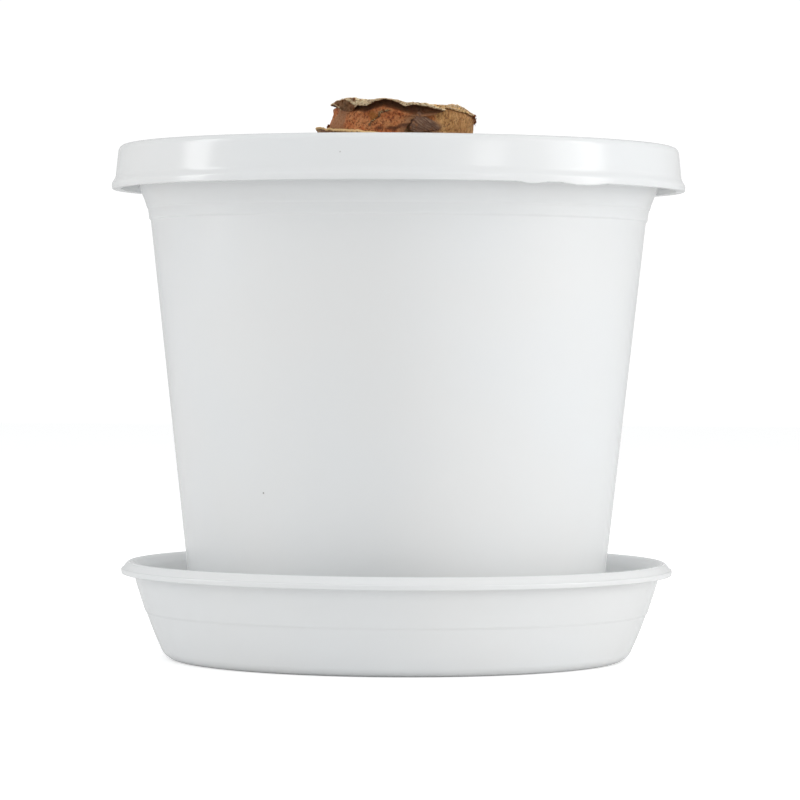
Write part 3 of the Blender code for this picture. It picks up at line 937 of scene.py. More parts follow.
def root_lines():
    chance = random.Random(31)
    lines = []
    for k in range(ROOTS):
        angle = 2 * pi * (k + 0.3 * sin(7.0 * k)) / ROOTS
        length = ROOT_LENGTH * (0.8 + 0.2 * cos(5.0 * k))
        lean = 0.25 + 0.2 * sin(3.0 * k)
        corners = []
        for step in range(5):
            down = length * step / 4
            out = ROOT_RING + lean * down + chance.uniform(-0.4, 0.4)
            corners.append(polar(out, angle, ROOT_TOP - down))
        lines.append((smooth_line(corners, 4), *ROOT_RADII, chance.random()))
    return lines


roots = on_bulb(strands("root_stubs", root_lines(), sides=12))
print("roots:", ROOTS)

# %% [markdown]
# ## Dry sheets with a cut edge
#
# A dried scale isn't a sheet of even thickness. It is thick where it was cut, rolls outwards there, and
# thins to paper at its torn sides. So each one is drawn as a closed cross-section: up the outside, over the
# cut face and down the inside. The section changes with the angle round the bulb, and a smooth curve
# through its rows is swept round. Every row also carries marks for the finish, such as how much it belongs
# to the pale cut face or to the dark hollow under the curl.

# %% Sweep a changing section round the bulb
SECTIONS_PER_RADIAN = 1200


def along(rows, share):
    """The point at a share of the way along a smooth curve through rows of numbers."""
    place = share * (len(rows) - 1)
    i = min(int(place), len(rows) - 2)
    near = rows[max(i - 1, 0)], rows[i], rows[i + 1], rows[min(i + 2, len(rows) - 1)]
    return [curve_between(*values, place - i) for values in zip(*near)]


def scale_piece(name, start, end, columns, steps, section, wear, marks, tear=None, stain=None, stains=()):
    """Sweep section(angle) from start to end degrees.

    wear moves a point, tear bends the end edge, and stain gives the values of the marks in stains.
    """
    kept = {}

    def row(angle, v):
        key = round(angle * SECTIONS_PER_RADIAN)
        if key not in kept:
            kept[key] = section(angle)
        return along(kept[key], v)

    def place(v, u):
        angle = radians(start + (end - start) * u)
        radius, height, *values = row(angle, v)
        if tear:
            angle += radians(tear(height)) * blend_step(0.55, 1.0, u)
            radius, height, *values = row(angle, v)
        out, up = wear(angle, height, v)
        if stain:
            values += stain(angle, height)
        values = [min(1.0, max(0.0, value)) for value in values]
        return (*polar(radius + out, angle, height + up), *values)

    made = sheet(name, steps, columns, place, (*marks, *stains))
    made.data.flip_normals()
    if end - start >= 360:
        weld_seam(made)
    return on_bulb(made)


def weld_seam(piece):
    """Join the first and last columns of a sheet that goes all the way round."""
    shape = bmesh.new()
    shape.from_mesh(piece.data)
    bmesh.ops.remove_doubles(shape, verts=shape.verts, dist=0.002 * MM)
    shape.to_mesh(piece.data)
    shape.free()


print("half way along 0, 1 and 4 the curve is at", along([(0,), (1,), (4,)], 0.5)[0])

# %% [markdown]
# Each edge is a line round the neck, drawn by a few pairs of degrees and millimetres. The degrees start at
# the right and turn by way of the back, so 180 is the left and 270 the front, which the camera sees. Only
# the waves that matter are in the pairs. The finer raggedness comes from noise.

# %% Edges of the skins and scales
SKIN_EDGE = ((0, 133.2), (24, 135.4), (58, 136.4), (80, 133.0), (118, 134.2), (150, 136.8), (172, 134.0),
             (205, 133.0), (236, 135.2), (262, 136.9), (281, 132.8), (318, 134.6), (341, 136.2))
TUNIC_EDGE = ((0, 143.6), (40, 145.0), (80, 142.8), (120, 145.6), (155, 144.8), (178, 147.9), (192, 148.1),
              (213, 147.4), (230, 146.9), (251, 146.2), (265, 144.6), (300, 143.2), (335, 145.2))
RED_EDGE = ((30, 153.0), (60, 154.5), (95, 153.4), (130, 155.0), (165, 155.4), (185, 154.6), (196, 154.8),
            (206, 155.3), (220, 155.8), (228, 155.8), (234, 155.4), (244, 155.1), (253, 155.4), (261, 155.2),
            (266, 154.9), (270, 154.5), (273, 154.2), (278, 154.3), (288, 154.1), (293, 153.8), (298, 153.2),
            (304, 152.6), (320, 152.4), (360, 152.6))
NECK_FOOT = ((0, 19.4), (45, 19.4), (90, 19.5), (135, 19.6), (165, 20.4), (180, 21.0), (200, 20.6),
             (225, 19.8), (270, 19.6), (315, 19.4))
NECK_TOP = ((0, 19.4), (45, 19.8), (90, 19.3), (135, 19.2), (180, 19.2), (225, 19.5), (270, 19.6),
            (300, 19.6), (330, 19.6))
TAN_EDGE = ((0, 151.4), (20, 152.6), (55, 153.6), (90, 152.6), (130, 153.6), (180, 153.2), (230, 153.3),
            (270, 152.9), (290, 153.4), (294, 154.0), (301, 153.9), (308, 153.8), (314, 154.2), (319, 154.1),
            (325, 153.5), (332, 152.8), (339, 152.2), (348, 151.8))
print("the highest cut edge stands at", max(height for turn, height in RED_EDGE), "mm")

# %% [markdown]
# ## Papery outer skins
#
# The two outermost skins are as thin as paper and tear off in patches. They follow the body with long ribs,
# and their upper edges are ragged. Fractal noise of the angle gives the rags: slow waves for where a skin
# tore, quick ones for its fibres. Scraps of skin still hang on the shoulder, and each of them is a small
# grid that lifts off along its torn border.

# %% Lay on the two outer skins
SCRAPS = 22
SCRAP_COLUMNS = 12
SCRAP_ROWS = 8


def ragged(angle, seed, depth):
    """How far a torn edge drops below its line."""
    slow = noise.noise(Vector((3.0 * cos(angle), 3.0 * sin(angle), seed)))
    quick = rough(11.0 * cos(angle), 11.0 * sin(angle), seed, 3)
    return depth * (0.4 * slow + 0.6 * quick)


def outer_section(angle):
    edge = around(SKIN_EDGE, angle) + ragged(angle, 1.7, 1.6)
    rows = []
    for height in (123.0, 125.0, 127.0, 129.0, 131.0, edge - 1.6, edge - 0.6):
        rows.append((body_radius(height) + ribs(angle, height), height, 0.0))
    lift = 0.5 + 0.5 * noise.noise(Vector((5 * cos(angle), 5 * sin(angle), 8.0)))
    tip = body_radius(edge) + ribs(angle, edge) + lift
    rows += [(tip, edge, 1.0), (tip - 0.35, edge - 0.1, 1.0)]
    for height in (edge - 0.8, edge - 3.0):
        rows.append((body_radius(height) + ribs(angle, height) - 0.6, height, 0.3))
    return rows


def torn_tip(angle):
    """1 at the left, where the torn skin stands away from the neck."""
    turn = degrees(angle) % 360
    return blend_step(170, 184, turn) * (1 - blend_step(192, 236, turn))


def inner_section(angle):
    edge = around(TUNIC_EDGE, angle) + ragged(angle, 4.1, 0.5)
    foot = around(NECK_FOOT, angle)
    rows = []
    for height in (130.0, 133.0, 136.0, 139.0):
        rows.append((body_radius(height) + ribs(angle, height) - 0.6, height, 0.0))
    tip = torn_tip(angle)
    for out, more, down, pale in ((1.8, 0.9, 1.9, 0.0), (1.5, 1.7, 0.5, 0.7), (1.3, 2.1, 0.0, 1.0),
                                  (0.9, 1.9, 0.25, 1.0), (0.4, 0.9, 1.2, 0.4), (0.0, 0.0, 2.6, 0.2)):
        rows.append((foot + out + more * tip, edge - down, pale))
    return rows


def paper_wear(angle, height, v):
    fine = 0.16 * noise.noise(Vector((13 * cos(angle), 13 * sin(angle), height / 30.0)))
    fine += 0.07 * rough(31 * cos(angle), 31 * sin(angle), height / 14.0, 2)
    return fine, 0.0


def skin_scraps():
    """Scraps of skin that still hang on the shoulder, each lifting where it tore."""
    chance = random.Random(61)
    points, faces, pale = [], [], []
    for scrap in range(SCRAPS):
        middle, top = chance.uniform(0, 2 * pi), chance.uniform(131.5, 143.0)
        wide, tall, lift = chance.uniform(0.06, 0.19), chance.uniform(2.5, 7.0), chance.uniform(0.5, 1.5)
        start = len(points)
        for i in range(SCRAP_COLUMNS + 1):
            for j in range(SCRAP_ROWS + 1):
                across, down = 2 * i / SCRAP_COLUMNS - 1, j / SCRAP_ROWS
                torn = 0.25 * noise.noise(Vector((3 * across, scrap * 2.0, 1.0)))
                height = top - tall * (down * (1 - 0.45 * across * across) + torn * (1 - down))
                sway = 0.02 * noise.noise(Vector((down * 4, scrap, 0)))
                angle = middle + wide * across * (1 - 0.35 * down) + sway
                border = max(abs(across), 1 - down) ** 3
                out = 0.15 + lift * border * (1 - down) - 0.55 * blend_step(0.75, 1.0, down)
                height = max(height, 127.0)
                points.append(polar(body_radius(height) + ribs(angle, height) + out, angle, height))
                pale.append(0.9 * blend_step(0.8, 1.0, max(abs(across), 1 - down)))
        for i in range(SCRAP_COLUMNS):
            for j in range(SCRAP_ROWS):
                here = start + i * (SCRAP_ROWS + 1) + j
                beside = here + SCRAP_ROWS + 1
                faces.append((here, here + 1, beside + 1, beside))
    return on_bulb(finish_mesh("skin_scraps", points, faces, {"pale": pale}))


scraps = skin_scraps()
tunic_outer = scale_piece("tunic_outer", 0, 360, 720, 40, outer_section, paper_wear, ("pale",))
tunic_inner = scale_piece("tunic_inner", 0, 360, 720, 40, inner_section, paper_wear, ("pale",))
print("skins:", len(tunic_outer.data.polygons) + len(tunic_inner.data.polygons), "faces")

# %% [markdown]
# ## The leathery red scale
#
# This is the piece that the eye goes to. It wraps the neck from the back round the left to the front, where
# it is torn away and lets the paler scale behind it show. Its cut face is pale and turned outwards. Below
# that runs a hollow in deep shade, and then the skin swells out again, with pores and scars like old
# leather. At the front left the edge has folded right over, so that a dark flap hangs down. Each of these
# borders is a line round the bulb, given by a few angles and heights, and the section is hung between them.
# TEAR says how many degrees further right the torn end reaches at each height.

# %% Borders on the red scale
FACE_LOW = ((40, 151.9), (90, 152.4), (150, 154.3), (185, 154.4), (199, 154.5), (207, 154.8), (220, 155.2),
            (225, 154.6), (231, 153.6), (240, 153.4), (244, 153.9), (248, 154.6), (256, 155.1), (261, 154.8),
            (266, 154.2), (270, 153.4), (272, 153.1), (274, 153.3), (278, 153.6), (288, 153.2), (297, 152.6),
            (304, 152.1), (320, 151.9))
FLAP_LOW = ((194, 154.6), (197, 154.4), (200, 154.1), (204, 153.7), (208, 153.2), (212, 152.7), (218, 152.4),
            (225, 152.2), (227, 152.5), (229, 152.9), (231, 153.5))
BROW = ((40, 150.5), (120, 151.4), (185, 153.2), (199, 153.4), (230, 152.2), (239, 151.7), (247, 152.6),
        (255, 153.2), (260, 152.7), (266, 152.2), (270, 151.6), (279, 150.8), (288, 151.0), (305, 151.7))
FLAP_SEAM = ((219, 155.7), (225, 154.8), (230.5, 153.9), (231, 153.2))
FLAP_THREAD = ((196, 154.6), (203, 154.1), (209, 153.3), (212, 152.6))
CRACK = ((259, 152.0), (255, 151.7), (251, 151.4), (251.5, 150.4), (247, 149.6), (244, 148.8), (243, 148.1))
OCHRE_PATCH = ((244, 151.2), (248, 150.2), (246, 149.8))
# Where a painted shadow line runs low on the front of the neck.
LOW_SHADOW_LINE = ((251, 147.3), (264, 147.0), (270, 148.1), (277, 147.9))
RED_SPAN = (40.0, 268.0)
TEAR = ((146.0, 3.0), (148.4, 7.0), (149.6, 9.0), (150.8, 14.0), (151.6, 26.0), (152.3, 36.0), (155.0, 38.0))


def from_line(line, angle, height):
    """Distance in millimetres from a line of (degrees, height) points drawn on the neck."""
    here = Vector((angle * NECK_RADIUS, height))
    nearest = 100.0
    for (turn0, z0), (turn1, z1) in zip(line, line[1:]):
        start = Vector((radians(turn0) * NECK_RADIUS, z0))
        end = Vector((radians(turn1) * NECK_RADIUS, z1))
        share = min(1.0, max(0.0, (here - start).dot(end - start) / (end - start).length_squared))
        nearest = min(nearest, (here - start - (end - start) * share).length)
    return nearest


def tear_shift(height):
    """How many degrees further right the red scale reaches at a height."""
    jag = 1.6 * rough(height * 1.1, 2.0, 0.0, 3)
    for (z0, turn0), (z1, turn1) in zip(TEAR, TEAR[1:]):
        if height <= z1:
            return jag + turn0 + (turn1 - turn0) * min(1.0, max(0.0, (height - z0) / (z1 - z0)))
    return jag + TEAR[-1][1]


def flap_lip(angle, under):
    """The lower end of the folded edge: the flap's where it hangs, and elsewhere the cut face's."""
    turn = degrees(angle) % 360
    if FLAP_LOW[0][0] < turn < FLAP_LOW[-1][0]:
        return min(under, around(FLAP_LOW, angle))
    return under


print("the crack is", round(from_line(CRACK, radians(250), 151.4), 2), "mm from a point beside it")

# %% [markdown]
# The section has four parts: the swelling skin, the shaded hollow, the cut face turned outwards, and the
# inner side. Its mark called shade is painted shade, strongest in the hollow under the curl. Its wear adds
# what is too fine for the rows, such as pores, creases and a pitted cut face. The stains are marks that follow
# lines on the skin, with one painted shadow line low on the front among them, and the finish turns them
# into colour.

# %% Build the red scale
def wall_radius(angle, height):
    """The neck spreads towards its foot, most of all on the left."""
    foot, top = around(NECK_FOOT, angle), around(NECK_TOP, angle)
    return foot + (top - foot) * blend_step(146.0, 152.5, height)


def red_section(angle):
    """Rows of radius, height and the marks pale, shade and olive, from the foot to the inner side."""
    edge, under, brow = around(RED_EDGE, angle), around(FACE_LOW, angle), around(BROW, angle)
    turn = degrees(angle) % 360
    lip = flap_lip(angle, under)
    folded = min(1.0, (under - lip) / 1.0)
    thin = blend_step(236, 266, turn)
    # Less painted shade towards the right end of the scale.
    dark = 1 - 0.30 * blend_step(284, 302, turn)
    belly = 0.35 + 0.3 * noise.noise(Vector((2.5 * cos(angle), 2.5 * sin(angle), 3.0)))
    hollow = min(1.0, (under - brow) / 1.2)

    # The shade value of each row is painted shade, deepest in the hollow under the curl.
    def row(out, height, pale, shade, olive=0.0, at=None):
        return wall_radius(angle, at or height) + out, height, pale, shade * dark, olive

    swelling = [
        row(-0.4, 143.0, 0, 0), row(0, 145.5, 0, 0), row(0.6 * belly, 147.5, 0, 0), row(belly, 149.3, 0, 0),
        row(belly, 0.5 * (149.3 + brow), 0, 0.05, at=brow), row(0.8 * belly, brow - 0.3, 0, 0.15),
    ]
    shaded = [
        row(0.1, brow, 0, 0.6), row(-0.6 * hollow, brow + 0.35 * (under - brow), 0, 0.95),
        row(-0.85 * hollow, brow + 0.65 * (under - brow), 0, 1), row(-0.35, under - 0.1, 0, 1),
    ]
    cut_face = [
        row(0.50, lip - 0.02, 0.3, 0.6, at=edge),
        row(0.78, lip + 0.08, 1 - 0.7 * folded, 0.1, folded, edge),
        row(0.88, 0.6 * lip + 0.4 * edge, 1 - folded, 0, folded, edge),
        row(0.85, 0.35 * lip + 0.65 * edge, 1 - folded, 0, folded, edge),
        row(0.80, 0.14 * lip + 0.86 * edge, 1 - folded, 0, folded, edge),
        row(0.60, edge - 0.03, 1, 0), row(0.35, edge + 0.02, 1, 0),
    ]
    inner_side = [
        row(-0.3, edge - 0.1, 0.8, 0), row(-1.3, edge - 0.6, 0.4, 0), row(-1.6, edge - 2.2, 0, 0.2),
        row(-1.5 + 0.5 * thin, 150.6, 0, 0.3), row(-1.3 + 0.8 * thin, 147.8, 0, 0.3, at=148.4),
    ]
    return swelling + shaded + cut_face + inner_side


def leather_wear(angle, height, v):
    """Swellings, pores and a few creases on the skin, and a frayed, pitted cut face."""
    x, y = cos(angle), sin(angle)
    out = 0.22 * noise.noise(Vector((6 * x, 6 * y, height / 2.6)))
    out += 0.17 * rough(22 * x, 22 * y, height * 1.1, 4)
    crease = abs(noise.noise(Vector((8 * x, 8 * y, height / 2.4 + 8))))
    out -= 0.10 * (1 - blend_step(0.0, 0.06, crease))
    on_face = blend_step(0.46, 0.54, v) * (1 - blend_step(0.80, 0.88, v))
    pit = blend_step(0.12, 0.45, rough(21 * x, 21 * y, height * 1.3, 2))
    out += on_face * (0.18 * rough(30 * x, 30 * y, height * 1.7, 3) - 0.45 * pit)
    out -= 0.35 * (1 - blend_step(0.0, 0.35, from_line(CRACK, angle, height))) * (1 - on_face)
    up = on_face * (0.16 * rough(34 * x, 34 * y, 9.0, 3) + 0.10 * noise.noise(Vector((9 * x, 9 * y, 4.0))))
    return out, up


def red_stain(angle, height):
    """Marks that follow lines on the skin: grey, ochre, crack, pale seams, and a painted shadow low on the
    front.
    """
    turn = degrees(angle) % 360
    ragged_edge = 2.2 * noise.noise(Vector((turn / 7, height / 1.4, 0.0)))
    right = 221 - 1.0 * (152.2 - height) + 2 * ragged_edge
    left = 187 + 3.8 * (height - 147.3) + ragged_edge
    grey = blend_step(left - 3, left + 3, turn) * (1 - blend_step(right - 3, right + 3, turn)) * 0.9
    torn = 268 + tear_shift(height)
    grey = max(grey, 0.9 * blend_step(torn - 9 + 2 * ragged_edge, torn - 2, turn))
    crack = 1 - blend_step(0.05, 0.32, from_line(CRACK, angle, height) + 0.06 * ragged_edge)
    ochre = 1 - blend_step(0.5, 1.2, from_line(OCHRE_PATCH, angle, height) + 0.2 * ragged_edge)
    # Painted shadow along the low front of the neck.
    scorch = 1 - blend_step(0.1, 0.75, from_line(LOW_SHADOW_LINE, angle, height) + 0.3 * ragged_edge)
    seam = 1 - blend_step(0.24, 0.5, from_line(FLAP_SEAM, angle, height) + 0.05 * ragged_edge)
    seam = max(seam, 1 - blend_step(0.08, 0.2, from_line(FLAP_THREAD, angle, height)))
    return grey, ochre, crack, scorch, seam


red_scale = scale_piece("red_scale", *RED_SPAN, 640, 96, red_section, leather_wear,
                        ("pale", "shade", "olive"), tear_shift, red_stain,
                        ("grey", "ochre", "crack", "scorch", "seam"))
print("red scale:", len(red_scale.data.polygons), "faces")

# %% [markdown]
# ## The tan scale behind it
#
# Where the red scale is torn away, the next one shows. It goes all the way round inside the neck, and on
# the right it is the outside. It is thinner, straw-coloured along its edge, and drawn over with fine dark
# veins that bend like contour lines. Beside the tear it is rusty, and a shred of grey skin still clings to
# it.

# %% Build the tan scale
TAN_RADIUS = ((0, 19.9), (24, 19.4), (44, 18.1), (150, 17.9), (250, 17.9), (268, 18.2), (282, 19.1),
              (300, 19.5), (330, 19.8), (345, 20.0))
TAN_LOW = ((0, 151.2), (90, 152.0), (180, 152.6), (290, 153.0), (304, 152.6), (308, 152.9), (314, 152.7),
           (321, 152.3), (328, 152.1), (339, 151.5))
RUST = ((288, 150.9), (296, 150.2))


def tan_radius(angle, height):
    """Near the tear its upper part stands back, inside the rim of the red scale."""
    turn = degrees(angle) % 360
    tucked = blend_step(258, 274, turn) * (1 - blend_step(299, 309, turn))
    return around(TAN_RADIUS, angle) - 1.2 * tucked * blend_step(148.8, 150.6, height)


def tan_section(angle):
    edge, under = around(TAN_EDGE, angle), around(TAN_LOW, angle)
    curl = 1.0 + 0.4 * noise.noise(Vector((4 * cos(angle), 4 * sin(angle), 6.0)))
    under = min(under, edge - 0.4)

    # The shade value of each row is painted shade, under the curl and on the inner side.
    def row(out, height, pale, shade):
        return tan_radius(angle, height) + out, height, pale, shade

    outer_side = [
        row(-0.7, 143.5, 0, 0), row(-0.4, 146.0, 0, 0), row(-0.15, 147.6, 0, 0), row(0.05, 149.0, 0, 0),
        row(0.25, 150.3, 0, 0), row(0.15, under - 0.7, 0, 0.1), row(-0.05, under - 0.25, 0, 0.5),
        row(0.05, under - 0.05, 0.2, 0.7),
    ]
    cut_face = [
        row(0.30 * curl, under + 0.05, 0.9, 0.1), row(0.40 * curl, (under + edge) / 2, 1, 0),
        row(0.30 * curl, edge - 0.08, 1, 0), row(0.05, edge, 1, 0),
    ]
    inner_side = [
        row(-0.4, edge - 0.1, 0.8, 0), row(-0.75, edge - 0.8, 0.3, 0), row(-0.9, edge - 2.2, 0, 0.2),
        row(-0.9, 147.8, 0, 0.4),
    ]
    return outer_side + cut_face + inner_side


def tan_wear(angle, height, v):
    x, y = cos(angle), sin(angle)
    out = 0.22 * noise.noise(Vector((5 * x, 5 * y, height / 4.0)))
    out += 0.07 * rough(16 * x, 16 * y, height / 1.8, 3)
    vein = abs(noise.noise(Vector((8 * x, 8 * y, height / 3.0 + 3))))
    out -= 0.12 * (1 - blend_step(0.0, 0.08, vein))
    on_face = blend_step(0.46, 0.54, v) * (1 - blend_step(0.78, 0.88, v))
    up = on_face * (0.20 * rough(27 * x, 27 * y, 1.0, 3) + 0.14 * noise.noise(Vector((8 * x, 8 * y, 7.0))))
    return out + on_face * 0.16 * rough(25 * x, 25 * y, height, 3), up


def tan_stain(angle, height):
    """Grey where the shred clings, and rust beside the tear."""
    turn = degrees(angle) % 360
    jag = 2.0 * noise.noise(Vector((turn / 5, height / 1.2, 3.0)))
    right = min(303.0, 285.0 + max(0.0, 151.6 - height) * 6.0) + jag
    grey = blend_step(270, 274, turn) * (1 - blend_step(right - 3, right + 3, turn))
    grey *= 1 - blend_step(151.3, 151.9, height)
    rust = 1 - blend_step(0.3, 1.6, from_line(RUST, angle, height) + 0.25 * jag)
    return grey, rust


tan_scale = scale_piece("tan_scale", 0, 360, 900, 64, tan_section, tan_wear, ("pale", "shade"),
                        stain=tan_stain, stains=("grey", "rust"))
print("tan scale:", len(tan_scale.data.polygons), "faces")

# %% [markdown]
# ## Threads, shreds and hairs
#
# A cut edge that has dried for weeks splits into its fibres. They are too fine for the sheets above, so
# they are laid on as tapering threads: along the pale cut faces, and fanning down over the shred, which is
# a small ridged sheet of its own. More of them hang as hairs from a frayed knot at the right. This is also
# what makes the outline look torn and not moulded.

# %% Threads on the neck
FAN_THREADS = 110
KNOT_HAIRS = 30
FAN_START = ((274.5, 146.8), (277.0, 149.4), (279.5, 150.9), (283.5, 151.9))
FAN_END = ((283.0, 146.2), (292.0, 146.3), (299.0, 146.6), (304.0, 147.3))


def point_on(line, share):
    """The (degrees, height) point at a share of the way along a line."""
    place = min(share, 0.9999) * (len(line) - 1)
    (turn0, z0), (turn1, z1) = line[int(place)], line[int(place) + 1]
    part = place - int(place)
    return turn0 + (turn1 - turn0) * part, z0 + (z1 - z0) * part


def on_neck(turn, height, lift):
    """A point on the visible side of the neck, lifted off whichever scale is outermost there."""
    angle = radians(turn)
    red = RED_SPAN[0] < turn < RED_SPAN[1] + tear_shift(height)
    radius = wall_radius(angle, height) + 0.3 if red else tan_radius(angle, height) + 0.15
    return polar(radius + lift, angle, height)


def on_shred(turn, height, lift):
    """A point on the grey shred, which lies partly on the red scale and partly on the tan one."""
    angle = radians(turn)
    share = blend_step(281, 296, turn)
    radius = (wall_radius(angle, height) + 0.45) * (1 - share) + (tan_radius(angle, height) + 0.35) * share
    return polar(radius + lift, angle, height)


def shred_place(u, v):
    """u runs down the fibres and v across them; the border dips into the skin below."""
    turn0, z0 = point_on(FAN_START, v)
    turn1, z1 = point_on(FAN_END, v)
    jag = 0.5 * rough(v * 9.0, 0.0, 3.0, 3)
    t = u * (1.02 + 0.10 * jag)
    turn, height = turn0 + (turn1 - turn0) * t + 0.8 * jag, z0 + (z1 - z0) * t
    sides = min(blend_step(0.0, 0.10, u), blend_step(0.0, 0.12, 1 - u))
    border = min(sides, blend_step(0.0, 0.08, v), blend_step(0.0, 0.08, 1 - v))
    fibre = 0.10 * noise.noise(Vector((v * 26.0, u * 1.6, 5.0)))
    fibre += 0.05 * noise.noise(Vector((v * 60.0, u * 2.5, 1.0)))
    return (*on_shred(turn, height, 0.75 * (border - 1) + fibre * border), v)


def edge_lines(table, lower, radius_of, start, end, count, seed):
    """Threads that run along a cut face."""
    chance = random.Random(seed)
    lines = []
    for thread in range(count):
        turn, length = chance.uniform(start, end), chance.uniform(3.0, 13.0)
        level = chance.random() ** 0.6
        corners = []
        for step in range(5):
            here = radians(min(end, turn + length * step / 4))
            top, bottom = around(table, here), around(lower, here)
            height = bottom + (top - bottom) * level + chance.uniform(-0.06, 0.10)
            corners.append(polar(radius_of(here, height) + chance.uniform(-0.05, 0.15), here, height))
        lines.append((smooth_line(corners, 3), chance.uniform(0.04, 0.09), 0.02, chance.random()))
    return lines


def fan_lines():
    """Fibres of the grey shred, spreading from its top edge down to the right."""
    chance = random.Random(42)
    lines = []
    for thread in range(FAN_THREADS):
        share = chance.random()
        turn0, z0 = point_on(FAN_START, share)
        turn1, z1 = point_on(FAN_END, share)
        begin, end = chance.uniform(0.0, 0.55), chance.uniform(0.6, 1.05)
        corners = []
        for step in range(5):
            t = begin + (end - begin) * step / 4
            sag = 0.5 * sin(pi * t) * (1 - share)
            height = z0 + (z1 - z0) * t - sag + chance.uniform(-0.06, 0.06)
            corners.append(on_shred(turn0 + (turn1 - turn0) * t, height, chance.uniform(-0.06, 0.08)))
        lines.append((smooth_line(corners, 3), chance.uniform(0.04, 0.10), 0.02, chance.random()))
    return lines


def hair_lines():
    """Short hairs that stick out every way round the frayed knot at the right."""
    chance = random.Random(43)
    lines = []
    for hair in range(KNOT_HAIRS):
        turn, height = chance.uniform(342, 358), chance.uniform(149.2, 151.7)
        rise, away, slew = chance.uniform(-1.2, 0.4), chance.uniform(0.2, 0.9), chance.uniform(-3.5, 3.5)
        corners = []
        for step in range(4):
            t = step / 3
            angle = radians(turn + slew * t * t)
            corners.append(polar(around(TAN_RADIUS, angle) + 0.2 + away * t, angle, height + rise * t * t))
        lines.append((smooth_line(corners, 3), chance.uniform(0.05, 0.13), 0.02, chance.random()))
    return lines


def red_face(angle, height):
    return wall_radius(angle, height) + 0.80


def tan_face(angle, height):
    return tan_radius(angle, height) + 0.38


front_lines = edge_lines(RED_EDGE, FACE_LOW, red_face, start=232, end=304, count=34, seed=44)
back_lines = edge_lines(RED_EDGE, FACE_LOW, red_face, start=60, end=232, count=60, seed=45)
right_lines = edge_lines(TAN_EDGE, TAN_LOW, tan_face, start=300, end=350, count=44, seed=46)
edge_threads = on_bulb(strands("edge_threads", front_lines + back_lines + right_lines))
shred = on_bulb(sheet("grey_shred", 60, 160, shred_place, ("tone",)))
shred_threads = on_bulb(strands("shred_threads", fan_lines()))
knot_hairs = on_bulb(strands("knot_hairs", hair_lines()))
threads = (edge_threads, shred_threads, knot_hairs)
print("threads:", sum(len(piece.data.polygons) for piece in threads), "faces")

# %% [markdown]
# Dry skin also breaks into bits. Some are caught in the crack, some hang in a clump at the right, and two
# stick out low on the left. They reuse the rough ball of the soil's crumbs, flattened against the skin for
# the flakes and left round for the clump.

# %% Flakes by the crack and the frayed knot
FLAKES = 46
KNOT = ((346.0, 151.6, 0.45), (348.5, 151.5, 0.55), (351.0, 150.9, 0.5), (355.0, 150.6, 0.6),
        (352.5, 150.2, 0.4), (357.0, 150.1, 0.45), (354.0, 149.6, 0.35), (351.0, 149.5, 0.3),
        (188.0, 148.7, 0.6), (186.5, 148.2, 0.8))


def flake_places():
    """Bits of dry skin caught along the crack, most of them near its upper end."""
    chance = random.Random(50)
    return [(turn + chance.gauss(0, 0.7), height + chance.gauss(0, 0.18))
            for turn, height in (point_on(CRACK, chance.random()) for flake in range(FLAKES))]


def flake_size(chance):
    return Vector((0.08, chance.uniform(0.07, 0.28), chance.uniform(0.05, 0.15)))


def knot_size(chance, size):
    return Vector((size * 0.7, size * chance.uniform(0.5, 0.9), size * chance.uniform(0.6, 1.0)))


def lumps_at(name, places, size_of, lift, seed):
    """One rough lump at each (degrees, height) place on the neck."""
    chance = random.Random(seed)
    base_points, base_faces = lump_shape(2)
    points, faces, tones = [], [], []
    for turn, height, *rest in places:
        size = size_of(chance, *rest)
        facing = Matrix.Rotation(radians(turn), 3, "Z") @ Matrix.Rotation(chance.uniform(-1.5, 1.5), 3, "X")
        centre, start = Vector(on_neck(turn, height, lift * chance.uniform(0.3, 1.7))), len(points)
        points += [centre + facing @ (Matrix.Diagonal(size) @ p) for p in base_points]
        faces += [[start + i for i in face] for face in base_faces]
        tones += [chance.random()] * len(base_points)
    return on_bulb(finish_mesh(name, points, faces, {"tone": tones}))


flakes = lumps_at("crack_flakes", flake_places(), flake_size, 0.12, 51)
knot = lumps_at("frayed_knot", KNOT, knot_size, 0.25, 52)
print("flakes:", FLAKES, "and", len(KNOT), "frayed lumps")

# %% [markdown]
# ## The cut scales inside the neck
#
# From above, a cut neck looks like a dried onion: ring inside ring, each one shrunk away from the next,
# with pale edges and dark gaps. A loop makes them from one section. The noise is read at each ring's own
# radius, so no two wave alike.

# %% Build the inner rings
INNER_SCALES = ((15.6, 0.8, 1.3), (11.9, 2.2, 1.2), (8.3, 1.5, 1.1), (4.9, 2.4, 0.9))
CORE = ((2.8, 147.2), (2.9, 148.6), (2.7, 150.0), (2.3, 150.8), (1.5, 151.1), (0.7, 150.7))
CORE_FOOT = 147.0
CORE_DIMPLE = 150.5
CORE_SIDES = 96


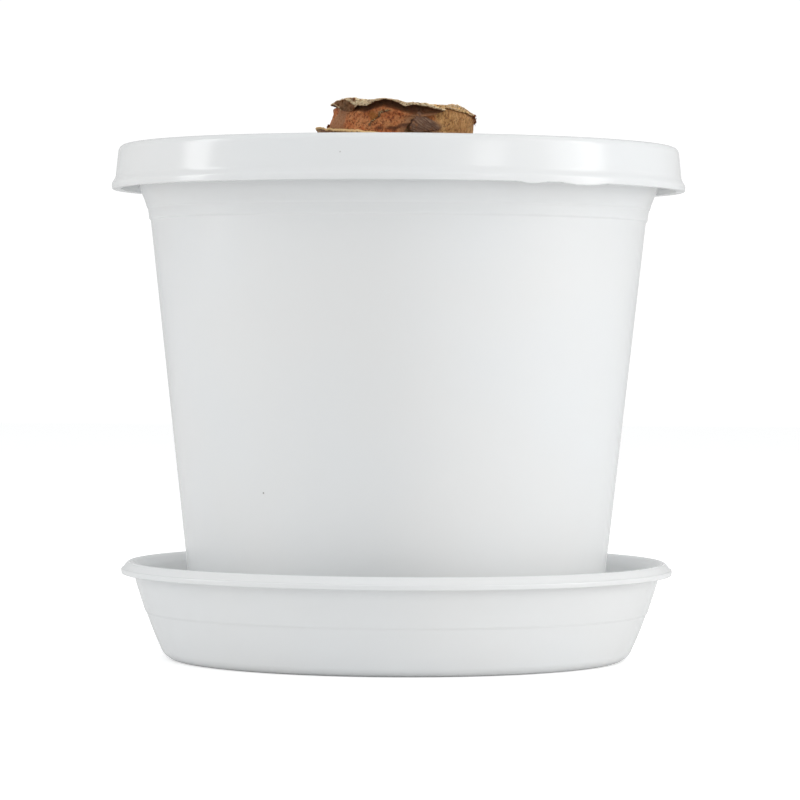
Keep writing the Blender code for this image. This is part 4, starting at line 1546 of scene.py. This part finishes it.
def inner_scale(number, radius, below, thick):
    """One ring, whose edge stands lower than the red scale's by about below millimetres."""
    def section(angle):
        wander = 0.7 * noise.noise(Vector((1.6 * cos(angle), 1.6 * sin(angle), radius)))
        edge = 0.5 * around(RED_EDGE, angle) + 0.5 * around(RED_EDGE, angle + 0.3 * radius) - below
        here, half = radius + wander, thick / 2
        # The shade values paint shade low down in the gaps between the rings.
        return [
            (here + half - 0.2, 146.8, 0, 0.6), (here + half, 149.0, 0, 0.4),
            (here + half, edge - 1.2, 0, 0.2), (here + half + 0.2, edge - 0.35, 0.6, 0),
            (here + half + 0.05, edge - 0.05, 1, 0), (here, edge - 0.1, 0.9, 0),
            (here - half, edge - 0.2, 1, 0), (here - half - 0.1, edge - 1.0, 0.4, 0.1),
            (here - half, 149.0, 0, 0.5), (here - half, 146.8, 0, 0.7),
        ]

    def wear(angle, height, v):
        x, y = cos(angle), sin(angle)
        out = 0.28 * noise.noise(Vector((3.5 * x, 3.5 * y, height / 4 + number)))
        jag = rough(radius * 1.2 * x, radius * 1.2 * y, 3.0 * number, 3)
        return out + 0.10 * jag, blend_step(149, 151, height) * 0.35 * jag

    columns = int(190 + 22 * radius)
    return scale_piece(f"cut_scale_{number}", 0, 360, columns, 36, section, wear, ("pale", "shade"))


def core_rings():
    """The stub in the very middle, a little out of round."""
    rings = [[(BULB_X, 0.0, CORE_FOOT)]]
    for radius, height in CORE:
        points = []
        for angle in turns(CORE_SIDES):
            swell = 1 + 0.15 * noise.noise(Vector((2 * cos(angle), 2 * sin(angle), height)))
            points.append(polar(radius * swell, angle, height))
        rings.append(points)
    return rings + [[(BULB_X, 0.0, CORE_DIMPLE)]]


inner_scales = [inner_scale(i + 1, *measures) for i, measures in enumerate(INNER_SCALES)]
core = on_bulb(skin("neck_core", core_rings()))
print("inner scales:", [piece.name for piece in inner_scales])

# %% [markdown]
# ## Finishes for dry skin
#
# Dry bulb skin is never one colour. The finish starts from two browns mixed by slow noise. A finer noise
# darkens the fibres and lightens the spots between them. Then it reads the marks, one colour over another:
# the stains and a painted shadow line, then painted shade, near black in the hollow under the curl and
# darker low between the scales, and last the pale straw of the cut face, with pits in it. The fine noise is
# used again for the bump and for the gloss, because a fibre that is darker is also a little higher and duller.

# %% Mix the skins
# Two of these colours are painted light: the hollow's near black is painted shade, and the low dark line's is a
# painted shadow.
PAINTED_SHADE_BROWN = (0.050, 0.019, 0.007)
FLAP_OLIVE = (0.135, 0.075, 0.032)
GREY_MAUVE = (0.37, 0.195, 0.100)
OCHRE = (0.38, 0.140, 0.022)
CRACK_DARK = (0.055, 0.032, 0.020)
PAINTED_SHADOW_DARK = (0.075, 0.024, 0.011)
RUST_RED = (0.50, 0.150, 0.040)
CUT_CREAM = (0.98, 0.79, 0.50)
CUT_STRAW = (0.96, 0.64, 0.29)
CUT_PIT = (0.17, 0.080, 0.036)
RED_BROWNS = ((0.17, 0.046, 0.016), (0.58, 0.165, 0.050), (0.72, 0.30, 0.115))
# One of these is no stain but a painted shadow line low on the front.
RED_STAINS = (("grey", GREY_MAUVE), ("ochre", OCHRE), ("scorch", PAINTED_SHADOW_DARK), ("crack", CRACK_DARK),
              ("olive", FLAP_OLIVE), ("seam", CUT_CREAM))


def dry_skin(name, dark, middle, light, cut, long=1.0, stains=()):
    """Two browns, dark fibres, each stain, painted shade from the shade mark, and last the pale cut face."""
    finish = Finish(name, 0.6)
    slow = finish.noise(0.42, finish.place(z=long), detail=6.0, roughness=0.72)
    fine = finish.noise(1.5, finish.place(z=long), detail=6.0, roughness=0.78)
    colour = finish.mix(finish.reach(slow, 0.42, 0.58), middle, light)
    colour = finish.mix(finish.math("MULTIPLY", finish.reach(fine, 0.49, 0.60), 0.95), colour, dark)
    colour = finish.mix(finish.reach(fine, 0.45, 0.34, 0.0, 0.6), colour, light)
    for mark, stain in stains:
        share = finish.math("MULTIPLY", finish.mark(mark), finish.reach(fine, 0.36, 0.56, 1.0, 0.65))
        colour = finish.mix(share, colour, stain)
    # Painted shade: the shade mark darkens hollows and gaps towards near black.
    shade = finish.math("MULTIPLY", finish.mark("shade"), finish.reach(fine, 0.40, 0.60, 1.0, 0.8))
    colour = finish.mix(shade, colour, PAINTED_SHADE_BROWN)
    fray = finish.math("ADD", finish.mark("pale"), finish.reach(fine, 0.38, 0.62, 0.25, -0.35))
    pits = finish.mix(finish.reach(finish.noise(2.2, detail=4.0, roughness=0.6), 0.39, 0.47), CUT_PIT, cut)
    colour = finish.mix(finish.reach(fray, 0.45, 0.75), colour, pits)
    finish.set(Base_Color=colour, Roughness=finish.reach(fine, 0.3, 0.7, 0.46, 0.70))
    finish.set(Subsurface_Weight=0.08, Subsurface_Scale=0.6 * MM, Subsurface_Radius=(1.0, 0.5, 0.3))
    finish.set(Specular_IOR_Level=0.22)
    grain = finish.bump(finish.noise(5.0, detail=5.0, roughness=0.7), 0.10)
    finish.set(Normal=finish.bump(fine, 0.30, normal=grain))
    return finish


red_finish = dry_skin("red_scale_skin", *RED_BROWNS, CUT_CREAM, stains=RED_STAINS)
red_finish.paint(red_scale)
print("red skin nodes:", len(red_finish.nodes))

# %% [markdown]
# The other skins use the same finish with browns of their own, and two of them add veins. On the tan scale
# they are contour lines of a slow noise. On the papery skins they run up and down, so their noise is read
# by direction from the middle of the bulb and changes little with height.

# %% Mix the tan, the cut and the papery skins
TAN_BROWNS = ((0.27, 0.115, 0.036), (0.50, 0.235, 0.078), (0.66, 0.37, 0.140))
TAN_VEIN = (0.15, 0.075, 0.038)
TAN_STAINS = (("grey", GREY_MAUVE), ("rust", RUST_RED))
CUT_BROWNS = ((0.14, 0.065, 0.03), (0.34, 0.19, 0.095), (0.44, 0.29, 0.16))
PAPER_BROWNS = ((0.115, 0.045, 0.018), (0.27, 0.115, 0.048), (0.38, 0.20, 0.095))
PAPER_RED = (0.23, 0.070, 0.024)
PAPER_STRAW = (0.47, 0.27, 0.115)
PAPER_VEIN = (0.080, 0.030, 0.013)


def base_colour(finish):
    """What feeds the base colour so far, so that more can be mixed over it."""
    return finish.shader.inputs["Base Color"].links[0].from_socket


def veined(finish, colour, vein):
    """Fine lines where a slow noise crosses whole steps, like contours on a map."""
    field = finish.noise(0.20, finish.place(z=0.8), detail=1.5, distortion=0.4)
    steps = finish.math("PINGPONG", finish.math("MULTIPLY", field, 15.0), 0.5)
    line = finish.reach(steps, 0.11, 0.03)
    broken = finish.reach(finish.noise(0.9, detail=2.0), 0.36, 0.52)
    return finish.mix(finish.math("MULTIPLY", line, finish.math("MULTIPLY", broken, 0.8)), colour, vein)


def fibrous(finish, colour):
    """Veins that run down the skin from the neck, whatever side they are on."""
    level = finish.place(x=1.0, y=1.0, z=0.0, shift=(-BULB_X, 0.0, 0.0))
    outward = finish.add("ShaderNodeVectorMath", settings={"operation": "NORMALIZE"}, Vector=level)
    spot = finish.nodes.new("ShaderNodeVectorMath")
    spot.operation = "ADD"
    finish.feed(spot.inputs[0], outward)
    finish.feed(spot.inputs[1], finish.place(x=0.0, y=0.0, z=0.010))
    veins = finish.noise(17.0, spot.outputs[0], detail=4.0, roughness=0.6)
    broad = finish.noise(3.2, spot.outputs[0], detail=3.0)
    patches = finish.noise(0.11, finish.place(z=0.6), detail=5.0, roughness=0.65)
    colour = finish.mix(finish.reach(broad, 0.45, 0.62, 0.0, 0.55), colour, PAPER_RED)
    colour = finish.mix(finish.reach(patches, 0.52, 0.62, 0.0, 0.75), colour, PAPER_STRAW)
    colour = finish.mix(finish.reach(veins, 0.53, 0.62, 0.0, 0.65), colour, PAPER_VEIN)
    before = finish.shader.inputs["Normal"].links[0].from_socket
    finish.set(Normal=finish.bump(veins, 0.45, normal=before))
    return colour


tan_finish = dry_skin("tan_scale_skin", *TAN_BROWNS, CUT_STRAW, long=0.6, stains=TAN_STAINS)
tan_finish.set(Base_Color=veined(tan_finish, base_colour(tan_finish), TAN_VEIN))
tan_finish.paint(tan_scale)
cut_finish = dry_skin("cut_scale_skin", *CUT_BROWNS, CUT_CREAM, long=0.4)
cut_finish.paint(*inner_scales, core)
paper_finish = dry_skin("papery_skin", *PAPER_BROWNS, CUT_STRAW, long=0.12)
torn = paper_finish.reach(paper_finish.mark("pale"), 0.45, 0.85)
torn_colour = paper_finish.mix(torn, fibrous(paper_finish, base_colour(paper_finish)), CUT_STRAW)
paper_finish.set(Base_Color=torn_colour, Roughness=0.48, Specular_IOR_Level=0.4)
paper_finish.paint(tunic_outer, tunic_inner, body, scraps)
print("tan skin nodes:", len(tan_finish.nodes))

# %% [markdown]
# The shred is grey-brown and ridged along its fibres. Its mark called tone runs from 0 to 1 across them, so
# a noise of that one number draws stripes that fan out with the sheet. The threads, flakes and roots take
# the finish of the coir in other colours.

# %% Finish the threads, flakes and roots
SHRED_DARK = (0.075, 0.033, 0.019)
SHRED_GREY = (0.40, 0.225, 0.145)
SHRED_RUST = (0.42, 0.18, 0.065)
SHRED_RIDGES = 30.0


def shred_finish():
    """Grey-brown skin whose ridges follow the mark that numbers its fibres."""
    finish = Finish("grey_shred", 0.7)
    across = finish.add("ShaderNodeCombineXYZ", X=finish.math("MULTIPLY", finish.mark("tone"), SHRED_RIDGES))
    lines = finish.noise(1.0, across, detail=3.0, roughness=0.6)
    patches = finish.noise(0.8, detail=5.0, roughness=0.7)
    colour = finish.mix(finish.reach(lines, 0.42, 0.60), SHRED_DARK, SHRED_GREY)
    colour = finish.mix(finish.reach(patches, 0.50, 0.66, 0.0, 0.7), colour, SHRED_RUST)
    finish.set(Base_Color=colour, Specular_IOR_Level=0.22, Normal=finish.bump(lines, 0.25))
    return finish


shred_finish().paint(shred)
fibre_finish("edge_fibre", (0.74, 0.52, 0.30), (0.97, 0.83, 0.62)).paint(edge_threads)
fibre_finish("shred_fibre", (0.12, 0.060, 0.038), (0.44, 0.28, 0.19)).paint(shred_threads)
fibre_finish("knot_fibre", (0.10, 0.030, 0.012), (0.36, 0.13, 0.045)).paint(knot_hairs, knot)
fibre_finish("flake_fibre", (0.14, 0.07, 0.03), (0.60, 0.43, 0.22)).paint(flakes)
fibre_finish("dry_roots", (0.20, 0.13, 0.08), (0.48, 0.36, 0.24)).paint(roots)
print("bulb pieces are finished")

# %% [markdown]
# ## The studio
#
# White plastic is drawn almost entirely by what stands round it, as in a light tent. The world here is an
# even soft white, a little brighter behind the camera. To the eye the backdrop and the floor are pure
# white, as they are in a product picture. If they sent that much light back, though, the pot would lose its
# shading, so the extra brightness is for the view alone.

# %% Floor and world
FLOOR_HALF = 3.0
FLOOR_WHITE = (0.90, 0.90, 0.90)
FLOOR_GLOW = 0.42
TENT_COLOUR = (0.985, 0.995, 1.0)
TENT_LEVEL = 0.59
TENT_FRONT = 0.21
BACKDROP_LEVEL = 1.05


def make_floor():
    """A wide matt floor that keeps the soft contact shadow."""
    corners = [(-FLOOR_HALF, -FLOOR_HALF, 0), (FLOOR_HALF, -FLOOR_HALF, 0),
               (FLOOR_HALF, FLOOR_HALF, 0), (-FLOOR_HALF, FLOOR_HALF, 0)]
    mesh = bpy.data.meshes.new("studio_floor")
    mesh.from_pydata(corners, [], [(0, 1, 2, 3)])
    floor = bpy.data.objects.new("studio_floor", mesh)
    bpy.context.scene.collection.objects.link(floor)
    finish = Finish("studio_floor", 0.9)
    seen = finish.add("ShaderNodeLightPath")
    finish.set(Base_Color=FLOOR_WHITE, Specular_IOR_Level=0.0, Emission_Color=(1.0, 1.0, 1.0))
    finish.set(Emission_Strength=finish.math("MULTIPLY", seen, FLOOR_GLOW))
    finish.paint(floor)


def make_world():
    """Pure white to look at, and a softer white as light."""
    world = bpy.data.worlds.new("light_tent")
    world.use_nodes = True
    nodes, links = world.node_tree.nodes, world.node_tree.links
    light = nodes["Background"]
    light.inputs["Color"].default_value = (*TENT_COLOUR, 1.0)
    where = nodes.new("ShaderNodeTexCoord")
    facing = nodes.new("ShaderNodeVectorMath")
    facing.operation = "DOT_PRODUCT"
    facing.inputs[1].default_value = (0.0, -1.0, 0.0)
    level = nodes.new("ShaderNodeMapRange")
    level.inputs["From Min"].default_value = 0.0
    level.inputs["To Min"].default_value = TENT_LEVEL
    level.inputs["To Max"].default_value = TENT_LEVEL + TENT_FRONT
    links.new(where.outputs["Generated"], facing.inputs[0])
    links.new(facing.outputs["Value"], level.inputs["Value"])
    links.new(level.outputs[0], light.inputs["Strength"])
    seen = nodes.new("ShaderNodeBackground")
    seen.inputs["Strength"].default_value = BACKDROP_LEVEL
    seen.inputs["Color"].default_value = (1.0, 1.0, 1.0, 1.0)
    path = nodes.new("ShaderNodeLightPath")
    choose = nodes.new("ShaderNodeMixShader")
    links.new(path.outputs["Is Camera Ray"], choose.inputs[0])
    links.new(light.outputs[0], choose.inputs[1])
    links.new(seen.outputs[0], choose.inputs[2])
    links.new(choose.outputs[0], nodes["World Output"].inputs["Surface"])
    bpy.context.scene.world = world


make_floor()
make_world()
print("the tent's light runs from", TENT_LEVEL, "to", TENT_LEVEL + TENT_FRONT)

# %% [markdown]
# ## Soft boxes
#
# Upright soft boxes on both sides make the two bright bands that run down the pot, and a narrow strip
# before the right one brightens part of its band. A small window at the front right makes the clean-edged
# patch on the collar, and a wide dim panel hangs overhead. Each soft box is an area light. A light's power
# spreads over its size, so a big one and a small one with the same power don't look equally bright in a
# reflection. It is easier to say how bright each panel looks and let a function work out its power.

# %% Place the soft boxes
def soft_box(name, azimuth, height, distance, width, tall, glow, aim=0.08):
    """A panel that faces the plant, with its lengths in metres.

    azimuth turns from the front towards the right, in degrees, and glow is how bright the panel looks.
    """
    data = bpy.data.lights.new(name, "AREA")
    data.shape = "RECTANGLE"
    data.size, data.size_y = width, tall
    data.energy = glow * pi * width * tall
    lamp = bpy.data.objects.new(name, data)
    bpy.context.scene.collection.objects.link(lamp)
    turn = radians(azimuth)
    lamp.location = (distance * sin(turn), -distance * cos(turn), height)
    lamp.rotation_mode = "QUATERNION"
    lamp.rotation_quaternion = (Vector((0, 0, aim)) - lamp.location).to_track_quat("-Z", "Y")
    lamp.visible_camera = False
    return lamp


boxes = [
    soft_box("right_wall", 76.0, 0.35, 1.1, 0.56, 0.9, 1.75),
    soft_box("left_wall", -87.0, 0.35, 1.1, 0.26, 0.9, 3.2),
    soft_box("right_strip", 81.0, 0.35, 1.08, 0.18, 0.9, 1.7),
    soft_box("front_window", 36.0, 0.38, 1.5, 0.30, 0.5, 2.1),
    soft_box("ceiling", 0.0, 1.2, 0.01, 2.0, 2.0, 0.16, aim=0.0),
]
bpy.context.scene.view_settings.view_transform = "Standard"
print("soft boxes:", {box.name: round(box.data.energy, 2) for box in boxes}, "watts")
